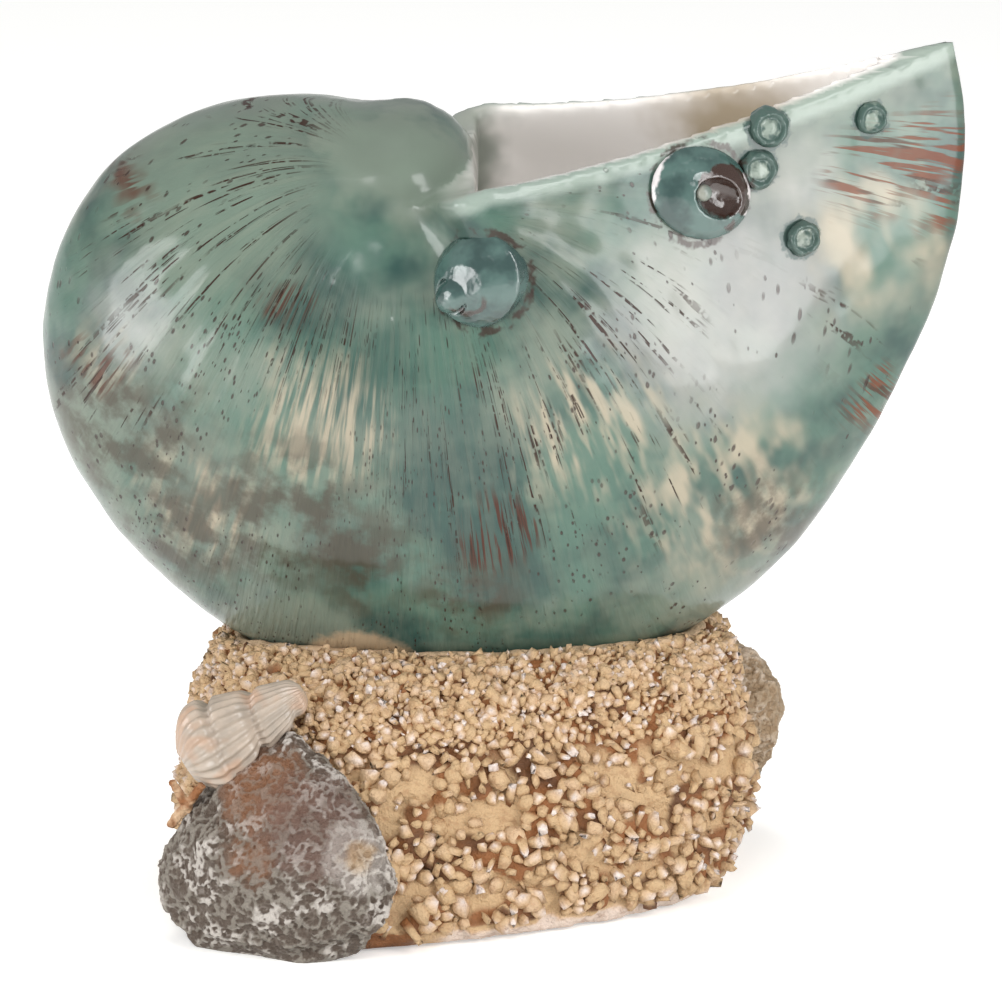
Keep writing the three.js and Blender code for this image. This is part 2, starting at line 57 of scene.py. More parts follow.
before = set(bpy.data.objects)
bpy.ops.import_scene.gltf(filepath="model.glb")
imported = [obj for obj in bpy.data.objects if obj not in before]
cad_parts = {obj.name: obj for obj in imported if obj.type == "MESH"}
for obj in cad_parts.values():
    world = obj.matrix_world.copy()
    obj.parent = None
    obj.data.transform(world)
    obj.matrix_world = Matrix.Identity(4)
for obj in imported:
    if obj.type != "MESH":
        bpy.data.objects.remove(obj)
CAD_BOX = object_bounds()

MM = 0.001
WELD = 1e-6

# Coil of the nautilus, the same curve as its solid
WHORL_RADIUS = 123
ROLL_RADIUS = 16.5
WHORL_HALF = 191
WHORL_FALL = 31
ROLL_FROM = 190
ROLL_FULL = 280
KEEL_HOLLOW = 5
KEEL_HOLLOW_AT = 40
BELLY_FLAT = 3
BELLY_FLAT_AT = 138
FLAT_RUN = 22
COIL_X = -18
COIL_HEIGHT = 158
LIP_BREADTH = 85
COIL_BREADTH = 58
UMBILICUS_BREADTH = 48
UMBILICUS_LIP_RADIUS = 9
UMBILICUS_RADIUS = 24
KEEL_RUN = 75
BREADTH_FROM = 110
BREADTH_TO = 250
LIP_TILT = 14.7
LIP_SAG = 9.8
LIP_LEVEL_SHARE = 0.33
LIP_RISE = 9
LIP_SETTLE = 40
WALL = 4
KEEL_WALL = 5
TIP_WALL = 13
TIP_WALL_RUN = 40
HOLLOW_BACK = 205
HOLLOW_END_RUN = 45
HOLLOW_CLEAR = 20
SEAT_GAP = 0.3
SHARE_BUNCHING = 1.3
ROLL_END = 360 - LIP_RISE

# Growth lines: how far they lean from the ray out of the axis, by the way that the ray points
GROWTH_LEAN = -0.145
GROWTH_FALL = 0.389
GROWTH_SINK = -0.154
GROWTH_TURN = -0.3
GROWTH_STEPS = 3
SADDLE_RADIUS = 14

# Whelk, along its axis from the siphon to the apex
WHELK_FOOT = Vector((-65, -45, 39))
WHELK_HEADING = 7
WHELK_RISE = 31.8
WHELK_LENGTH = 30
WHELK_RADIUS = 10.5
WHELK_APEX = 3.2
WHELK_WHORLS = 3.5
WHELK_RIBS = 24
WHELK_RIB = 0.45
WHELK_SUTURE = 0.2
WHELK_SUTURE_RUN = 0.13
WHELK_SHOULDER = 0.3
WHELK_GROWTH = 0.8
WHELK_MOUTH_SHARE = 0.2
WHELK_SPIRE_SHARE = 0.4
WHELK_TIP_SHARE = 0.93
WHELK_TIP_RUN = 0.08

# Facets
SHELL_COLUMNS = 220
SHELL_ROWS = 96
HOLLOW_COLUMNS = 48
HOLLOW_ROWS = 90
WHELK_COLUMNS = 140
WHELK_ROWS = 110
OCTREE_DEPTH = 8

# Skins over the solids: the edge of a face, and how many times its points are smoothed
PUTTY_SKIN = (0.7, 3)
ROCK_SKIN = (1.1, 3)
LIMPET_SKIN = (0.3, 4)
BEAD_SKIN = (0.2, 4)
BARNACLE_SKIN = (0.25, 25)
OYSTER_SKIN = (0.42, 3)
TWIG_SKIN = (0.25, 2)
SHELL_SMOOTHING = 4

# Keel, lip and pearl of the shell's skin
KEEL_EDGE = 1.3
KEEL_FADE = 10
KEEL_REACH = 0.7
KEEL_SHARE = 0.8
LIP_BAND = 5
LIP_BAND_FADE = 2.5
PEARL_FROM = 1
PEARL_FULL = 3
RIM_FADE = 2

# Relief of the shell: folds along the growth lines, and dents
FOLD_FINENESS = 13
FOLD_LENGTH = 70
FOLD_BREADTH = 60
FOLD_START = (8, 26)
FOLD_FADE = (50, 100)
FOLD_LOSS = 0.7
DENT_GRAIN = 15
SMALL_DENT_GRAIN = 6
SMALL_DENT = 0.4
INSIDE_DENT = 0.4

# Relief of the stand. Pairs are where a change starts and ends, or what it goes from and to
GRAVEL_HEIGHT = (36, 44)
BARE_GRAIN = 8
BARE_SHIFT = Vector((3, 1, 7))
BARE_EDGE = (-0.1, 0.12)
BARE_DEPTH = 1.4
LUMP_GRAIN = 6
LUMP_FRACTAL = (0.8, 2.0, 3)
LUMP_RISE = 0.9
LUMP_HEIGHT = (0.4, 3)
FOOT_HEIGHT = (3.5, 5.5)
LEDGE_HEIGHT = (0.4, 1.6)
LEDGE_RISE = 0.8
OCHRE_LEFT = (8, 18)
OCHRE_FRONT = (0, 20)
# Paleness of the rock, from crowded chips to bare hollows: the low end paints shade in brown between the
# chips
ROCK_PALENESS = (0.05, 0.42)
FOOT_PALENESS = (0.85, 0.1)
ROCK_TINT = (0.3, 0.66)

# Coral chips. Sizes and gaps go from the lumps to the gravel
CHIPS_IN_HANDFUL = 60
CHIP_CELL = 3
CHIP_SEED = 7
CHIP_FOOT = 5
CHIP_CLEAR = 3.4
BARE_CHANCE = 0.93
CHIP_SIZES = (1.15, 0.88)
CHIP_GAPS = (1.1, 0.64)
CHIP_SPREAD = (0.6, 1.3)
CHIP_LEAN = 0.5
CHIP_JITTER = 0.3
# Paleness at a chip's middle, which falls to nothing at its foot: painted shade where the chip meets the rock
CHIP_PALENESS = 0.45
PEBBLE_SHARE = 0.65
PEBBLE_SHAPE = ((0.8, 1.3), (0.7, 1), (0.8, 1.2))
SHARD_SHAPE = ((0.4, 0.75), (0.4, 0.75), (0.9, 1.3))
SHARD_SIDES = 6
SHARD_TOP = 0.6

# Relief of the oyster valves: pits with walls, crests across them, and lumps
LACE_WARP = 1.5
LACE_WARP_GRAIN = 4
LACE_SHIFTS = (Vector((9.3, 2.7, 5.1)), Vector((4.6, 7.2, 1.9)), Vector((3.4, 8.5, 6.8)))
PIT_WALL = 1.8
CREST_GRAIN = 3.4
CREST_FRACTAL = (0.9, 2.0, 3)
CREST_SHARPNESS = 3.2
CREST_SHARE = 0.55
LACE_MIDDLE = 0.5
VALVE_LUMP_GRAIN = 9
VALVE_LUMP_FRACTAL = (0.9, 2.0, 2)
VALVE_HEIGHT = (0.5, 3)

# Relief of the other small pieces: its height and its grain
PUTTY_RELIEF = (0.5, 4)
BARNACLE_RELIEF = (0.45, 1.9)
TWIG_RELIEF = (0.3, 1.2)
BARNACLE_PALENESS = 0.8

# Stage, in metres
TARGET = Vector((3.07 * MM, 0, 84.3 * MM))
FLOOR_HALF = 6
FLOOR_LIFT = 0.36
WORLD_STRENGTH = 0.38
VIEW_END = 20
SOFTBOXES = {
    "left": ((-0.5, -0.29, 0.13), (0.26, 0.28)),
    "right": ((0.36, -0.32, 0.17), (0.18, 0.32)),
    "lip": ((0.52, -0.74, 0.76), (0.4, 0.4)),
    "front": ((-0.4, -1.08, 0.94), (0.8, 0.5)),
    "top": ((-0.1, 0.1, 0.95), (0.4, 0.4)),
}
FILLS = ("front", "top")


def lerp(low, high, share):
    return low + (high - low) * share


def smoothstep(value, low, high):
    share = min(1, max(0, (value - low) / (high - low)))
    return share * share * (3 - 2 * share)


# Nautilus curve


def whorl_radius(back):
    """Radius of the keel, followed backwards from the lip in degrees."""
    grown = 1 / (1 + math.exp((back - WHORL_HALF) / WHORL_FALL))
    coil = lerp(ROLL_RADIUS, WHORL_RADIUS, grown * (1 - smoothstep(back, ROLL_FROM, ROLL_FULL)))
    hollow = KEEL_HOLLOW * math.exp(-(((back - KEEL_HOLLOW_AT) / FLAT_RUN) ** 2))
    return coil - hollow - BELLY_FLAT * math.exp(-(((back - BELLY_FLAT_AT) / FLAT_RUN) ** 2))


def half_breadth(back, radius, share):
    """Half the shell's breadth at a radius, where share is that radius as a share of the keel's."""
    roundness = smoothstep(back, 0, KEEL_RUN)
    full = lerp(LIP_BREADTH, COIL_BREADTH, smoothstep(back, BREADTH_FROM, BREADTH_TO)) / 2
    dent = math.exp(-((radius / lerp(UMBILICUS_LIP_RADIUS, UMBILICUS_RADIUS, roundness)) ** 2))
    outline = max(0, 1 - share ** lerp(1, 2, roundness)) ** lerp(1, 0.5, roundness)
    return lerp(full, UMBILICUS_BREADTH / 2, dent) * outline


def coil_point(back, radius, across):
    angle = math.radians(LIP_TILT - back)
    return Vector((COIL_X + radius * math.cos(angle), across, COIL_HEIGHT + radius * math.sin(angle)))


def lip_back(share):
    """Degrees that the lip lies behind its straight line."""
    return max(LIP_SAG * (1 - share) * (share - LIP_LEVEL_SHARE) / share, -LIP_RISE) if share else -LIP_RISE


def shell_point(u, v):
    """Outside of the shell: u follows the coil and closes over the mouth, v goes from flank to flank."""
    column = round(u * SHELL_COLUMNS) % SHELL_COLUMNS
    back = ROLL_END * column / (SHELL_COLUMNS - 1)
    share = math.sin(math.pi / 2 * (1 - abs(2 * v - 1))) ** SHARE_BUNCHING
    radius = share * whorl_radius(back)
    across = math.copysign(half_breadth(back, radius, share), v - 0.5)
    return coil_point(back + lip_back(share) * (1 - smoothstep(back, 0, LIP_SETTLE)), radius, across)


def hollow_point(u, v):
    """Hollow of the bowl: u goes round its section, roll to keel and back, and v down into the coil."""
    back = lerp(-HOLLOW_CLEAR, HOLLOW_BACK, v)
    inside = max(back, 0)
    above = max(0, -LIP_RISE - back) / (HOLLOW_CLEAR - LIP_RISE)
    inner = ROLL_RADIUS + lerp(-SEAT_GAP, WALL, above)
    outer = whorl_radius(inside) - lerp(TIP_WALL, KEEL_WALL, smoothstep(inside, 0, TIP_WALL_RUN))
    ending = max(0, back - HOLLOW_BACK + HOLLOW_END_RUN) / HOLLOW_END_RUN
    shrink = math.sqrt(max(0, 1 - ending ** 2))
    place = (round(u * HOLLOW_COLUMNS) % HOLLOW_COLUMNS) / (HOLLOW_COLUMNS - 1)
    reach = lerp(inner, outer, math.sin(math.pi / 2 * (1 - abs(2 * place - 1))))
    breadth = (1 - 2 * WALL / LIP_BREADTH) * half_breadth(inside, reach, reach / outer)
    across = math.copysign(shrink * breadth, 0.5 - place)
    return coil_point(back, lerp((inner + outer) / 2, reach, shrink), across)


def coil_reading(point):
    """Degrees back from the lip, radius, and depth under the outside of the shell, at a point."""
    along, up = point.x - COIL_X, point.z - COIL_HEIGHT
    radius = math.hypot(along, up)
    back = (LIP_TILT - math.degrees(math.atan2(up, along)) + LIP_RISE) % 360 - LIP_RISE
    keel = whorl_radius(back)
    depth = min(keel - radius, half_breadth(back, radius, min(1, radius / keel)) - abs(point.y))
    return back, radius, depth


def keel_curve(back, across):
    """Radius of the outside near the keel, a little blunt, at a distance from the middle plane."""
    roundness = smoothstep(back, 0, KEEL_RUN)
    breadth = lerp(LIP_BREADTH, COIL_BREADTH, smoothstep(back, BREADTH_FROM, BREADTH_TO)) / 2
    reach = math.hypot(across, KEEL_EDGE) - KEEL_EDGE * (1 - smoothstep(across, 0, KEEL_FADE))
    outline = max(0, 1 - (reach / breadth) ** (1 / lerp(1, 0.5, roundness)))
    return whorl_radius(back) * outline ** (1 / lerp(1, 2, roundness))


def growth_ray(point, radius):
    """Way that the growth line through a point leaves the saddle, traced back to it in a few steps."""
    angle = math.atan2(point.z - COIL_HEIGHT, point.x - COIL_X)
    step = math.log(radius / SADDLE_RADIUS) / GROWTH_STEPS
    for trace in range(GROWTH_STEPS):
        along, up = math.cos(angle), math.sin(angle)
        angle += step * (GROWTH_LEAN + along * (GROWTH_FALL + GROWTH_TURN * up) + GROWTH_SINK * up)
    return Vector((math.cos(angle), math.sin(angle), 0))


# Mesh making


def warped_grid(columns, rows, place):
    """Closed sheet whose points lie at place(u, v) in millimetres, with u and v from 0 to 1."""
    mesh = bmesh.new()
    bmesh.ops.create_grid(mesh, x_segments=columns, y_segments=rows, size=1)
    for vert in mesh.verts:
        vert.co = place((vert.co.x + 1) / 2, (vert.co.y + 1) / 2)
    bmesh.ops.scale(mesh, vec=(MM, MM, MM), verts=mesh.verts)
    bmesh.ops.remove_doubles(mesh, verts=mesh.verts, dist=WELD)
    bmesh.ops.holes_fill(mesh, edges=[edge for edge in mesh.edges if edge.is_boundary], sides=0)
    bmesh.ops.recalc_face_normals(mesh, faces=mesh.faces)
    return mesh


def new_object(name, mesh):
    """Object made of a bmesh, which is freed."""
    data = bpy.data.meshes.new(name)
    mesh.to_mesh(data)
    mesh.free()
    made = bpy.data.objects.new(name, data)
    bpy.context.scene.collection.objects.link(made)
    return made


def quad_skin(piece, edge):
    """Modifier that turns a piece into one smooth skin of quads."""
    remesh = piece.modifiers.new("quad skin", "REMESH")
    remesh.mode = "SMOOTH"
    remesh.octree_depth = OCTREE_DEPTH
    remesh.scale = max(piece.dimensions) / (edge * MM * 2 ** OCTREE_DEPTH)


def round_off(piece, smoothing):
    """Applies a piece's modifiers and rounds its edges."""
    smooth = piece.modifiers.new("round edges", "SMOOTH")
    smooth.factor = 0.5
    smooth.iterations = smoothing
    evaluated = piece.evaluated_get(bpy.context.evaluated_depsgraph_get())
    data = bpy.data.meshes.new_from_object(evaluated)
    piece.modifiers.clear()
    piece.data = data
    data.name = piece.name
    data.shade_smooth()


def even_piece(name, node, edge, smoothing):
    """Object with one skin of even faces over a CAD node, its edges rounded, for soft and lumpy forms."""
    mesh = bmesh.new()
    mesh.from_mesh(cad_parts[node].data)
    bmesh.ops.remove_doubles(mesh, verts=mesh.verts, dist=WELD)
    piece = new_object(name, mesh)
    remesh = piece.modifiers.new("even skin", "REMESH")
    remesh.mode = "VOXEL"
    remesh.voxel_size = edge * MM
    round_off(piece, smoothing)
    return piece


def ripple(point, height, grain):
    return height * noise.noise(point / grain)


def carve(piece, relief, *marks):
    """Moves each point along its normal by relief(point), which also gives the values of the marks."""
    data = piece.data
    values = [[] for mark in marks]
    places = []
    for vert in data.vertices:
        rise, *readings = relief(vert.co / MM)
        places.extend(vert.co + vert.normal * (rise * MM))
        for column, reading in zip(values, readings):
            column.append(reading)
    data.vertices.foreach_set("co", places)
    for mark, column in zip(marks, values):
        data.attributes.new(mark, "FLOAT", "POINT").data.foreach_set("value", column)
    data.update()


def dress(piece, material, node):
    """Gives a piece its material, and puts it in the place of a CAD node."""
    piece.data.materials.clear()
    piece.data.materials.append(material)
    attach(piece, "root")
    if node:
        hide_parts(node)


# Materials


def linear(colour):
    """Scene colour of a screen colour."""
    low = [part / 12.92 if part <= 0.04045 else ((part + 0.055) / 1.055) ** 2.4 for part in colour]
    return (*low, 1)


def plug(tree, inputs, sockets):
    """Gives each socket, by its name or number, a value or a link."""
    for name, value in sockets.items():
        if isinstance(value, bpy.types.NodeSocket):
            tree.links.new(value, inputs[name])
        else:
            inputs[name].default_value = value


def put(tree, kind, sockets=None, **settings):
    """Adds a node, with its settings and what goes into its sockets."""
    node = tree.nodes.new(kind)
    for name, value in settings.items():
        setattr(node, name, value)
    plug(tree, node.inputs, sockets or {})
    return node


def calc(tree, operation, first, second):
    return put(tree, "ShaderNodeMath", {0: first, 1: second}, operation=operation).outputs[0]


def times(tree, first, second):
    return calc(tree, "MULTIPLY", first, second)


def vector(tree, operation, first, second=(0, 0, 0)):
    return put(tree, "ShaderNodeVectorMath", {0: first, 1: second}, operation=operation).outputs[0]


def scaled(tree, place, scale):
    return put(tree, "ShaderNodeVectorMath", {0: place, "Scale": scale}, operation="SCALE").outputs[0]


def in_plane(tree, place):
    """Place without its part across the shell, so that both flanks get the same paint."""
    return vector(tree, "MULTIPLY", place, (1, 0, 1))


def stretch(tree, value, low, high):
    """Smooth step of a value between two limits."""
    sockets = {"Value": value, "From Min": low, "From Max": high}
    return put(tree, "ShaderNodeMapRange", sockets, interpolation_type="SMOOTHSTEP").outputs[0]


def blend(tree, factor, under, over):
    """Scene colour under, with scene colour over laid on it by a factor."""
    return put(tree, "ShaderNodeMix", {0: factor, 6: under, 7: over}, data_type="RGBA").outputs[2]


def paint(tree, coat, mask, colour, share=1.0):
    """Coat with a screen colour painted on it, by a share of a mask."""
    return blend(tree, times(tree, mask, share), coat, linear(colour))


def object_place(tree):
    return put(tree, "ShaderNodeTexCoord").outputs["Object"]


def new_group(name, sockets):
    """Empty node group with number inputs and one mask. Returns the tree, its inputs and its mask socket."""
    tree = bpy.data.node_groups.new(name, "ShaderNodeTree")
    for label, default in sockets.items():
        socket = tree.interface.new_socket(name=label, in_out="INPUT", socket_type="NodeSocketFloat")
        socket.default_value = default
    tree.interface.new_socket(name="Mask", in_out="OUTPUT", socket_type="NodeSocketFloat")
    return tree, tree.nodes.new("NodeGroupInput").outputs, tree.nodes.new("NodeGroupOutput").inputs["Mask"]


def use(tree, group, **sockets):
    """Places a node group and returns its mask."""
    node = put(tree, "ShaderNodeGroup", node_tree=bpy.data.node_groups[group])
    plug(tree, node.inputs, {label.capitalize(): value for label, value in sockets.items()})
    return node.outputs["Mask"]


def coil_arm(tree):
    """Place from the coil's axis, the same in the coil's plane, and the distance from the axis."""
    arm = vector(tree, "SUBTRACT", object_place(tree), (COIL_X * MM, 0, COIL_HEIGHT * MM))
    flat = in_plane(tree, arm)
    radius = put(tree, "ShaderNodeVectorMath", {0: flat}, operation="LENGTH").outputs["Value"]
    return arm, flat, radius


def coil_place(tree, fineness, length, seed):
    """Place measured by the coil: fine across its growth lines, and long along them."""
    arm, flat, radius = coil_arm(tree)
    inward = calc(tree, "LOGARITHM", calc(tree, "DIVIDE", SADDLE_RADIUS * MM, radius), math.e)
    step = calc(tree, "DIVIDE", inward, GROWTH_STEPS)
    ray = vector(tree, "NORMALIZE", flat)
    for trace in range(GROWTH_STEPS):
        way = put(tree, "ShaderNodeSeparateXYZ", {0: ray}).outputs
        fall = calc(tree, "ADD", times(tree, way["Z"], GROWTH_TURN), GROWTH_FALL)
        sink = calc(tree, "ADD", times(tree, way["Z"], GROWTH_SINK), GROWTH_LEAN)
        lean = calc(tree, "ADD", times(tree, way["X"], fall), sink)
        bend = {"Vector": ray, "Angle": times(tree, lean, step)}
        ray = put(tree, "ShaderNodeVectorRotate", bend, rotation_type="Y_AXIS").outputs[0]
    parts = put(tree, "ShaderNodeSeparateXYZ", {0: scaled(tree, ray, fineness)}).outputs
    across = put(tree, "ShaderNodeSeparateXYZ", {0: arm}).outputs["Y"]
    run = calc(tree, "DIVIDE", calc(tree, "ADD", radius, across), times(tree, length, MM))
    lengthwise = calc(tree, "ADD", run, seed)
    return put(tree, "ShaderNodeCombineXYZ", {0: parts["X"], 1: lengthwise, 2: parts["Z"]}).outputs[0]


def calm_centre(tree):
    """Mask that leaves out the smooth saddle round the umbilicus."""
    radius = coil_arm(tree)[2]
    return stretch(tree, radius, SADDLE_RADIUS * MM, 2 * SADDLE_RADIUS * MM)


def make_streaks():
    """Strokes along the growth lines of the coil."""
    sockets = {"Fineness": 30.0, "Length": 20.0, "Least": 0.5, "Most": 0.6, "Seed": 0.0}
    tree, given, mask = new_group("growth_streaks", sockets)
    place = coil_place(tree, given["Fineness"], given["Length"], given["Seed"])
    grain = put(tree, "ShaderNodeTexNoise", {"Vector": place, "Scale": 1.0, "Detail": 2.0, "Roughness": 0.6})
    stroke = stretch(tree, grain.outputs[0], given["Least"], given["Most"])
    tree.links.new(times(tree, stroke, calm_centre(tree)), mask)


def make_pits():
    """Small pits drawn out along the growth lines, in some of the cells only."""
    sockets = {"Fineness": 40.0, "Length": 5.0, "Width": 0.2, "Share": 0.5, "Seed": 0.0}
    tree, given, mask = new_group("growth_pits", sockets)
    place = coil_place(tree, given["Fineness"], given["Length"], given["Seed"])
    cells = put(tree, "ShaderNodeTexVoronoi", {"Vector": place, "Scale": 1.0})
    red = put(tree, "ShaderNodeSeparateColor", {0: cells.outputs["Color"]}).outputs[0]
    chosen = calc(tree, "LESS_THAN", red, given["Share"])
    near = stretch(tree, cells.outputs["Distance"], given["Width"], times(tree, given["Width"], 0.5))
    tree.links.new(times(tree, times(tree, near, chosen), calm_centre(tree)), mask)


def make_patches():
    """Soft cloudy patches of a size."""
    sockets = {"Size": 20.0, "Least": 0.45, "Most": 0.6, "Detail": 3.0, "Seed": 0.0}
    tree, given, mask = new_group("soft_patches", sockets)
    metres = times(tree, given["Size"], MM)
    place = scaled(tree, object_place(tree), calc(tree, "DIVIDE", 1.0, metres))
    seed = given["Seed"]
    shift = put(tree, "ShaderNodeCombineXYZ", {0: seed, 1: seed, 2: seed}).outputs[0]
    grain = {"Scale": 1.0, "Detail": given["Detail"], "Roughness": 0.55}
    cloud = put(tree, "ShaderNodeTexNoise", {"Vector": vector(tree, "ADD", place, shift), **grain})
    tree.links.new(stretch(tree, cloud.outputs[0], given["Least"], given["Most"]), mask)


def ragged_place(tree, grain, amount):
    """Place in millimetres, shaken by a grain, so that what is drawn with it has a ragged outline."""
    place = scaled(tree, object_place(tree), 1 / MM)
    cloud = put(tree, "ShaderNodeTexNoise", {"Vector": place, "Scale": 1 / grain, "Detail": 2.0})
    centred = vector(tree, "SUBTRACT", cloud.outputs["Color"], (0.5, 0.5, 0.5))
    return vector(tree, "ADD", place, vector(tree, "MULTIPLY", centred, (amount, amount, amount)))


def spot(tree, place, centre, reach, softness, hole=None):
    """Mask of a soft spot, or of a ring where it has a hole."""
    apart = put(tree, "ShaderNodeVectorMath", {0: place, 1: centre}, operation="DISTANCE").outputs["Value"]
    outer = stretch(tree, apart, reach, reach - softness)
    if hole is None:
        return outer
    return times(tree, outer, stretch(tree, apart, hole - softness, hole))


def any_of(tree, masks):
    total = masks[0]
    for mask in masks[1:]:
        total = calc(tree, "MAXIMUM", total, mask)
    return total


def any_spot(tree, place, spots, softness):
    """Mask of several spots, each a centre and a reach."""
    return any_of(tree, [spot(tree, place, centre, reach, softness) for centre, reach in spots])


def new_material(name):
    """Material with a Principled shader. Returns the material, its tree and the shader's sockets."""
    material = bpy.data.materials.new(name)
    material.use_nodes = True
    return material, material.node_tree, material.node_tree.nodes["Principled BSDF"].inputs


def bump(tree, height, distance):
    sockets = {"Height": height, "Distance": distance * MM, "Strength": 1.0}
    return put(tree, "ShaderNodeBump", sockets).outputs[0]


def mark(tree, name):
    """Value that the mesh carries at each point."""
    return put(tree, "ShaderNodeAttribute", attribute_name=name).outputs["Fac"]


# Marks of the paint, each a centre and a reach
RUST_MARKS = (((3, 0, 88), 13), ((-78, 0, 160), 8), ((-42, 0, 139), 8), ((-84, 0, 122), 10))
TIP_MARKS = (((82, 0, 163), 14), ((96, 0, 165), 14), ((97, 0, 152), 9), ((85, 0, 109), 11))
STROKE_MARKS = (
    ((-45, 0, 146), 30), ((-70, 0, 155), 26), ((-84, 0, 118), 20), ((2, 0, 105), 30), ((28, 0, 140), 24),
    ((38, 0, 100), 20), ((88, 0, 140), 26), ((-40, 0, 172), 24),
)
SMOKE_MARKS = (
    ((-44, 0, 92), 26), ((-78, 0, 106), 24), ((-66, 0, 84), 22), ((-28, 0, 82), 20), ((-4, 0, 72), 18),
    ((62, 0, 84), 20),
)
CREAM_MARKS = (
    ((-36, 0, 114), 20), ((22, 0, 112), 22), ((-82, 0, 124), 12), ((86, 0, 148), 22), ((52, 0, 92), 26),
    ((-62, 0, 92), 18),
)
SAGE_MARKS = (((-58, 0, 164), 36), ((-30, 0, 176), 22), ((-64, 0, 128), 20))
DEEP_MARKS = (((-25, 0, 125), 20), ((-8, 0, 110), 22), ((2, 0, 82), 22), ((-30, 0, 82), 20))
# Painted highlight: a pale lilac bloom where the highlights fall on both flanks
LILAC_HIGHLIGHT_MARKS = (((52, 0, 134), 34), ((-79, 0, 133), 17), ((66, 0, 160), 18))
# Painted shade: dark brown spots over the torn hollow of the right limpet
TORN_HOLLOW_SHADE = (
    ((51.2, -23.5, 162), 6.2), ((48.4, -26, 163.6), 3.6), ((54.6, -21.5, 158.4), 2.8),
    ((51.8, -23, 154.4), 1.9),
)
BARNACLES = (
    ((60.5, -15, 173.5), 4.6), ((58.5, -17.5, 165), 4.4), ((83, -8.5, 173.5), 3.8), ((68, -16, 149), 4.2),
)
VALVE_EYE = (-27, -65, 25)
VALVE_RUST_MARKS = (((-49, -58, 39), 14), ((-50, -62, 24), 9))
VALVE_SAND_MARKS = ((VALVE_EYE, 5.5), ((64, 14, 34), 20))

# Middles of single marks
LEFT_LIMPET = (-1, -36, 145.5)
LEFT_NUB = (-5, -40, 143.3)
# Middle of the nub's lower side, where the crease is painted with shade
NUB_SHADE_SIDE = (-3.4, -41, 138.6)
RIGHT_LIMPET = (46, -22.5, 161)
TORN_EDGE = (50, -22, 160)
# Middle of a painted highlight beside the torn hollow
TORN_SIDE_HIGHLIGHT = (57.4, -19, 160)
SMOOTH_TIP = (92, 0, 160)
PUTTY_SMEAR = (-28, 0, 46)
PEARL_FLUSH = (56, 0, 165)
THROAT = (-20, 0, 158)
VALVE_MAUVE = (-37, -62, 31)


def shell_ground(tree, look, place):
    """Clouds of verdigris, sage, cream and smoke, and lilac as a painted highlight where the highlights fall
    on the flanks. Returns the coat and the mask of the cream bands.
    """
    clouds = use(tree, "soft_patches", size=24, least=0.36, most=0.62, detail=4, seed=3)
    coat = blend(tree, clouds, linear(look.deep_teal), linear(look.teal))
    sage = use(tree, "soft_patches", size=34, least=0.44, most=0.62, detail=4, seed=2)
    sage_spots = any_spot(tree, place, SAGE_MARKS, 20)
    sage = any_of(tree, [times(tree, sage, 0.8), times(tree, sage_spots, 0.6)])
    coat = paint(tree, coat, sage, look.sage)
    coat = paint(tree, coat, any_spot(tree, place, DEEP_MARKS, 18), look.deep_teal, 0.6)
    # Painted highlight: lilac laid over the paint where the highlights fall
    coat = paint(tree, coat, any_spot(tree, place, LILAC_HIGHLIGHT_MARKS, 24), look.lilac, 0.45)
    band = use(tree, "growth_streaks", fineness=16, length=20, least=0.4, most=0.64, seed=9)
    creamy = calc(tree, "ADD", times(tree, any_spot(tree, place, CREAM_MARKS, 14), 0.85), 0.06)
    coat = paint(tree, coat, times(tree, band, creamy), look.cream)
    mottle = use(tree, "soft_patches", size=7, least=0.36, most=0.6, detail=5, seed=4)
    smoke = times(tree, any_spot(tree, place, SMOKE_MARKS, 16), mottle)
    return paint(tree, coat, smoke, look.smoke, 0.8), band


def shell_strokes(tree, look, place, coat):
    """Thin dark strokes and broad rusty ones. Returns the coat, and the masks of the strokes and the rust."""
    lines = use(tree, "growth_streaks", fineness=75, length=26, least=0.55, most=0.61, seed=21)
    groups = use(tree, "growth_streaks", fineness=14, length=45, least=0.48, most=0.56, seed=5)
    dashes = use(tree, "soft_patches", size=1.7, least=0.38, most=0.5, detail=1, seed=6)
    thin = times(tree, lines, times(tree, groups, dashes))
    dark_area = calc(tree, "ADD", times(tree, any_spot(tree, place, STROKE_MARKS, 12), 0.92), 0.08)
    strokes = times(tree, thin, dark_area)
    coat = paint(tree, coat, strokes, look.stroke)
    broad = use(tree, "growth_streaks", fineness=40, length=22, least=0.48, most=0.56, seed=14)
    broad = times(tree, broad, any_spot(tree, place, RUST_MARKS, 8))
    tip = use(tree, "growth_streaks", fineness=260, length=24, least=0.48, most=0.56, seed=3)
    tip = times(tree, tip, any_spot(tree, place, TIP_MARKS, 8))
    rust = calc(tree, "MAXIMUM", broad, tip)
    rusty = blend(tree, tip, linear(look.rust), linear(look.ember))
    rusty = paint(tree, rusty, lines, look.stroke, 0.7)
    return blend(tree, times(tree, rust, 0.8), coat, rusty), strokes, rust


def shell_pits(tree, place):
    """Mask of small pits in some places, with none at the tip of the mouth."""
    wide = use(tree, "growth_pits", fineness=34, length=3.2, width=0.26, share=0.4)
    fine = use(tree, "growth_pits", fineness=70, length=2.2, width=0.24, share=0.14, seed=7)
    where = use(tree, "soft_patches", size=24, least=0.4, most=0.52, detail=1, seed=31)
    where = calc(tree, "SUBTRACT", where, spot(tree, place, SMOOTH_TIP, 34, 12))
    where = calc(tree, "MAXIMUM", where, 0.0)
    return times(tree, calc(tree, "MAXIMUM", wide, fine), where)


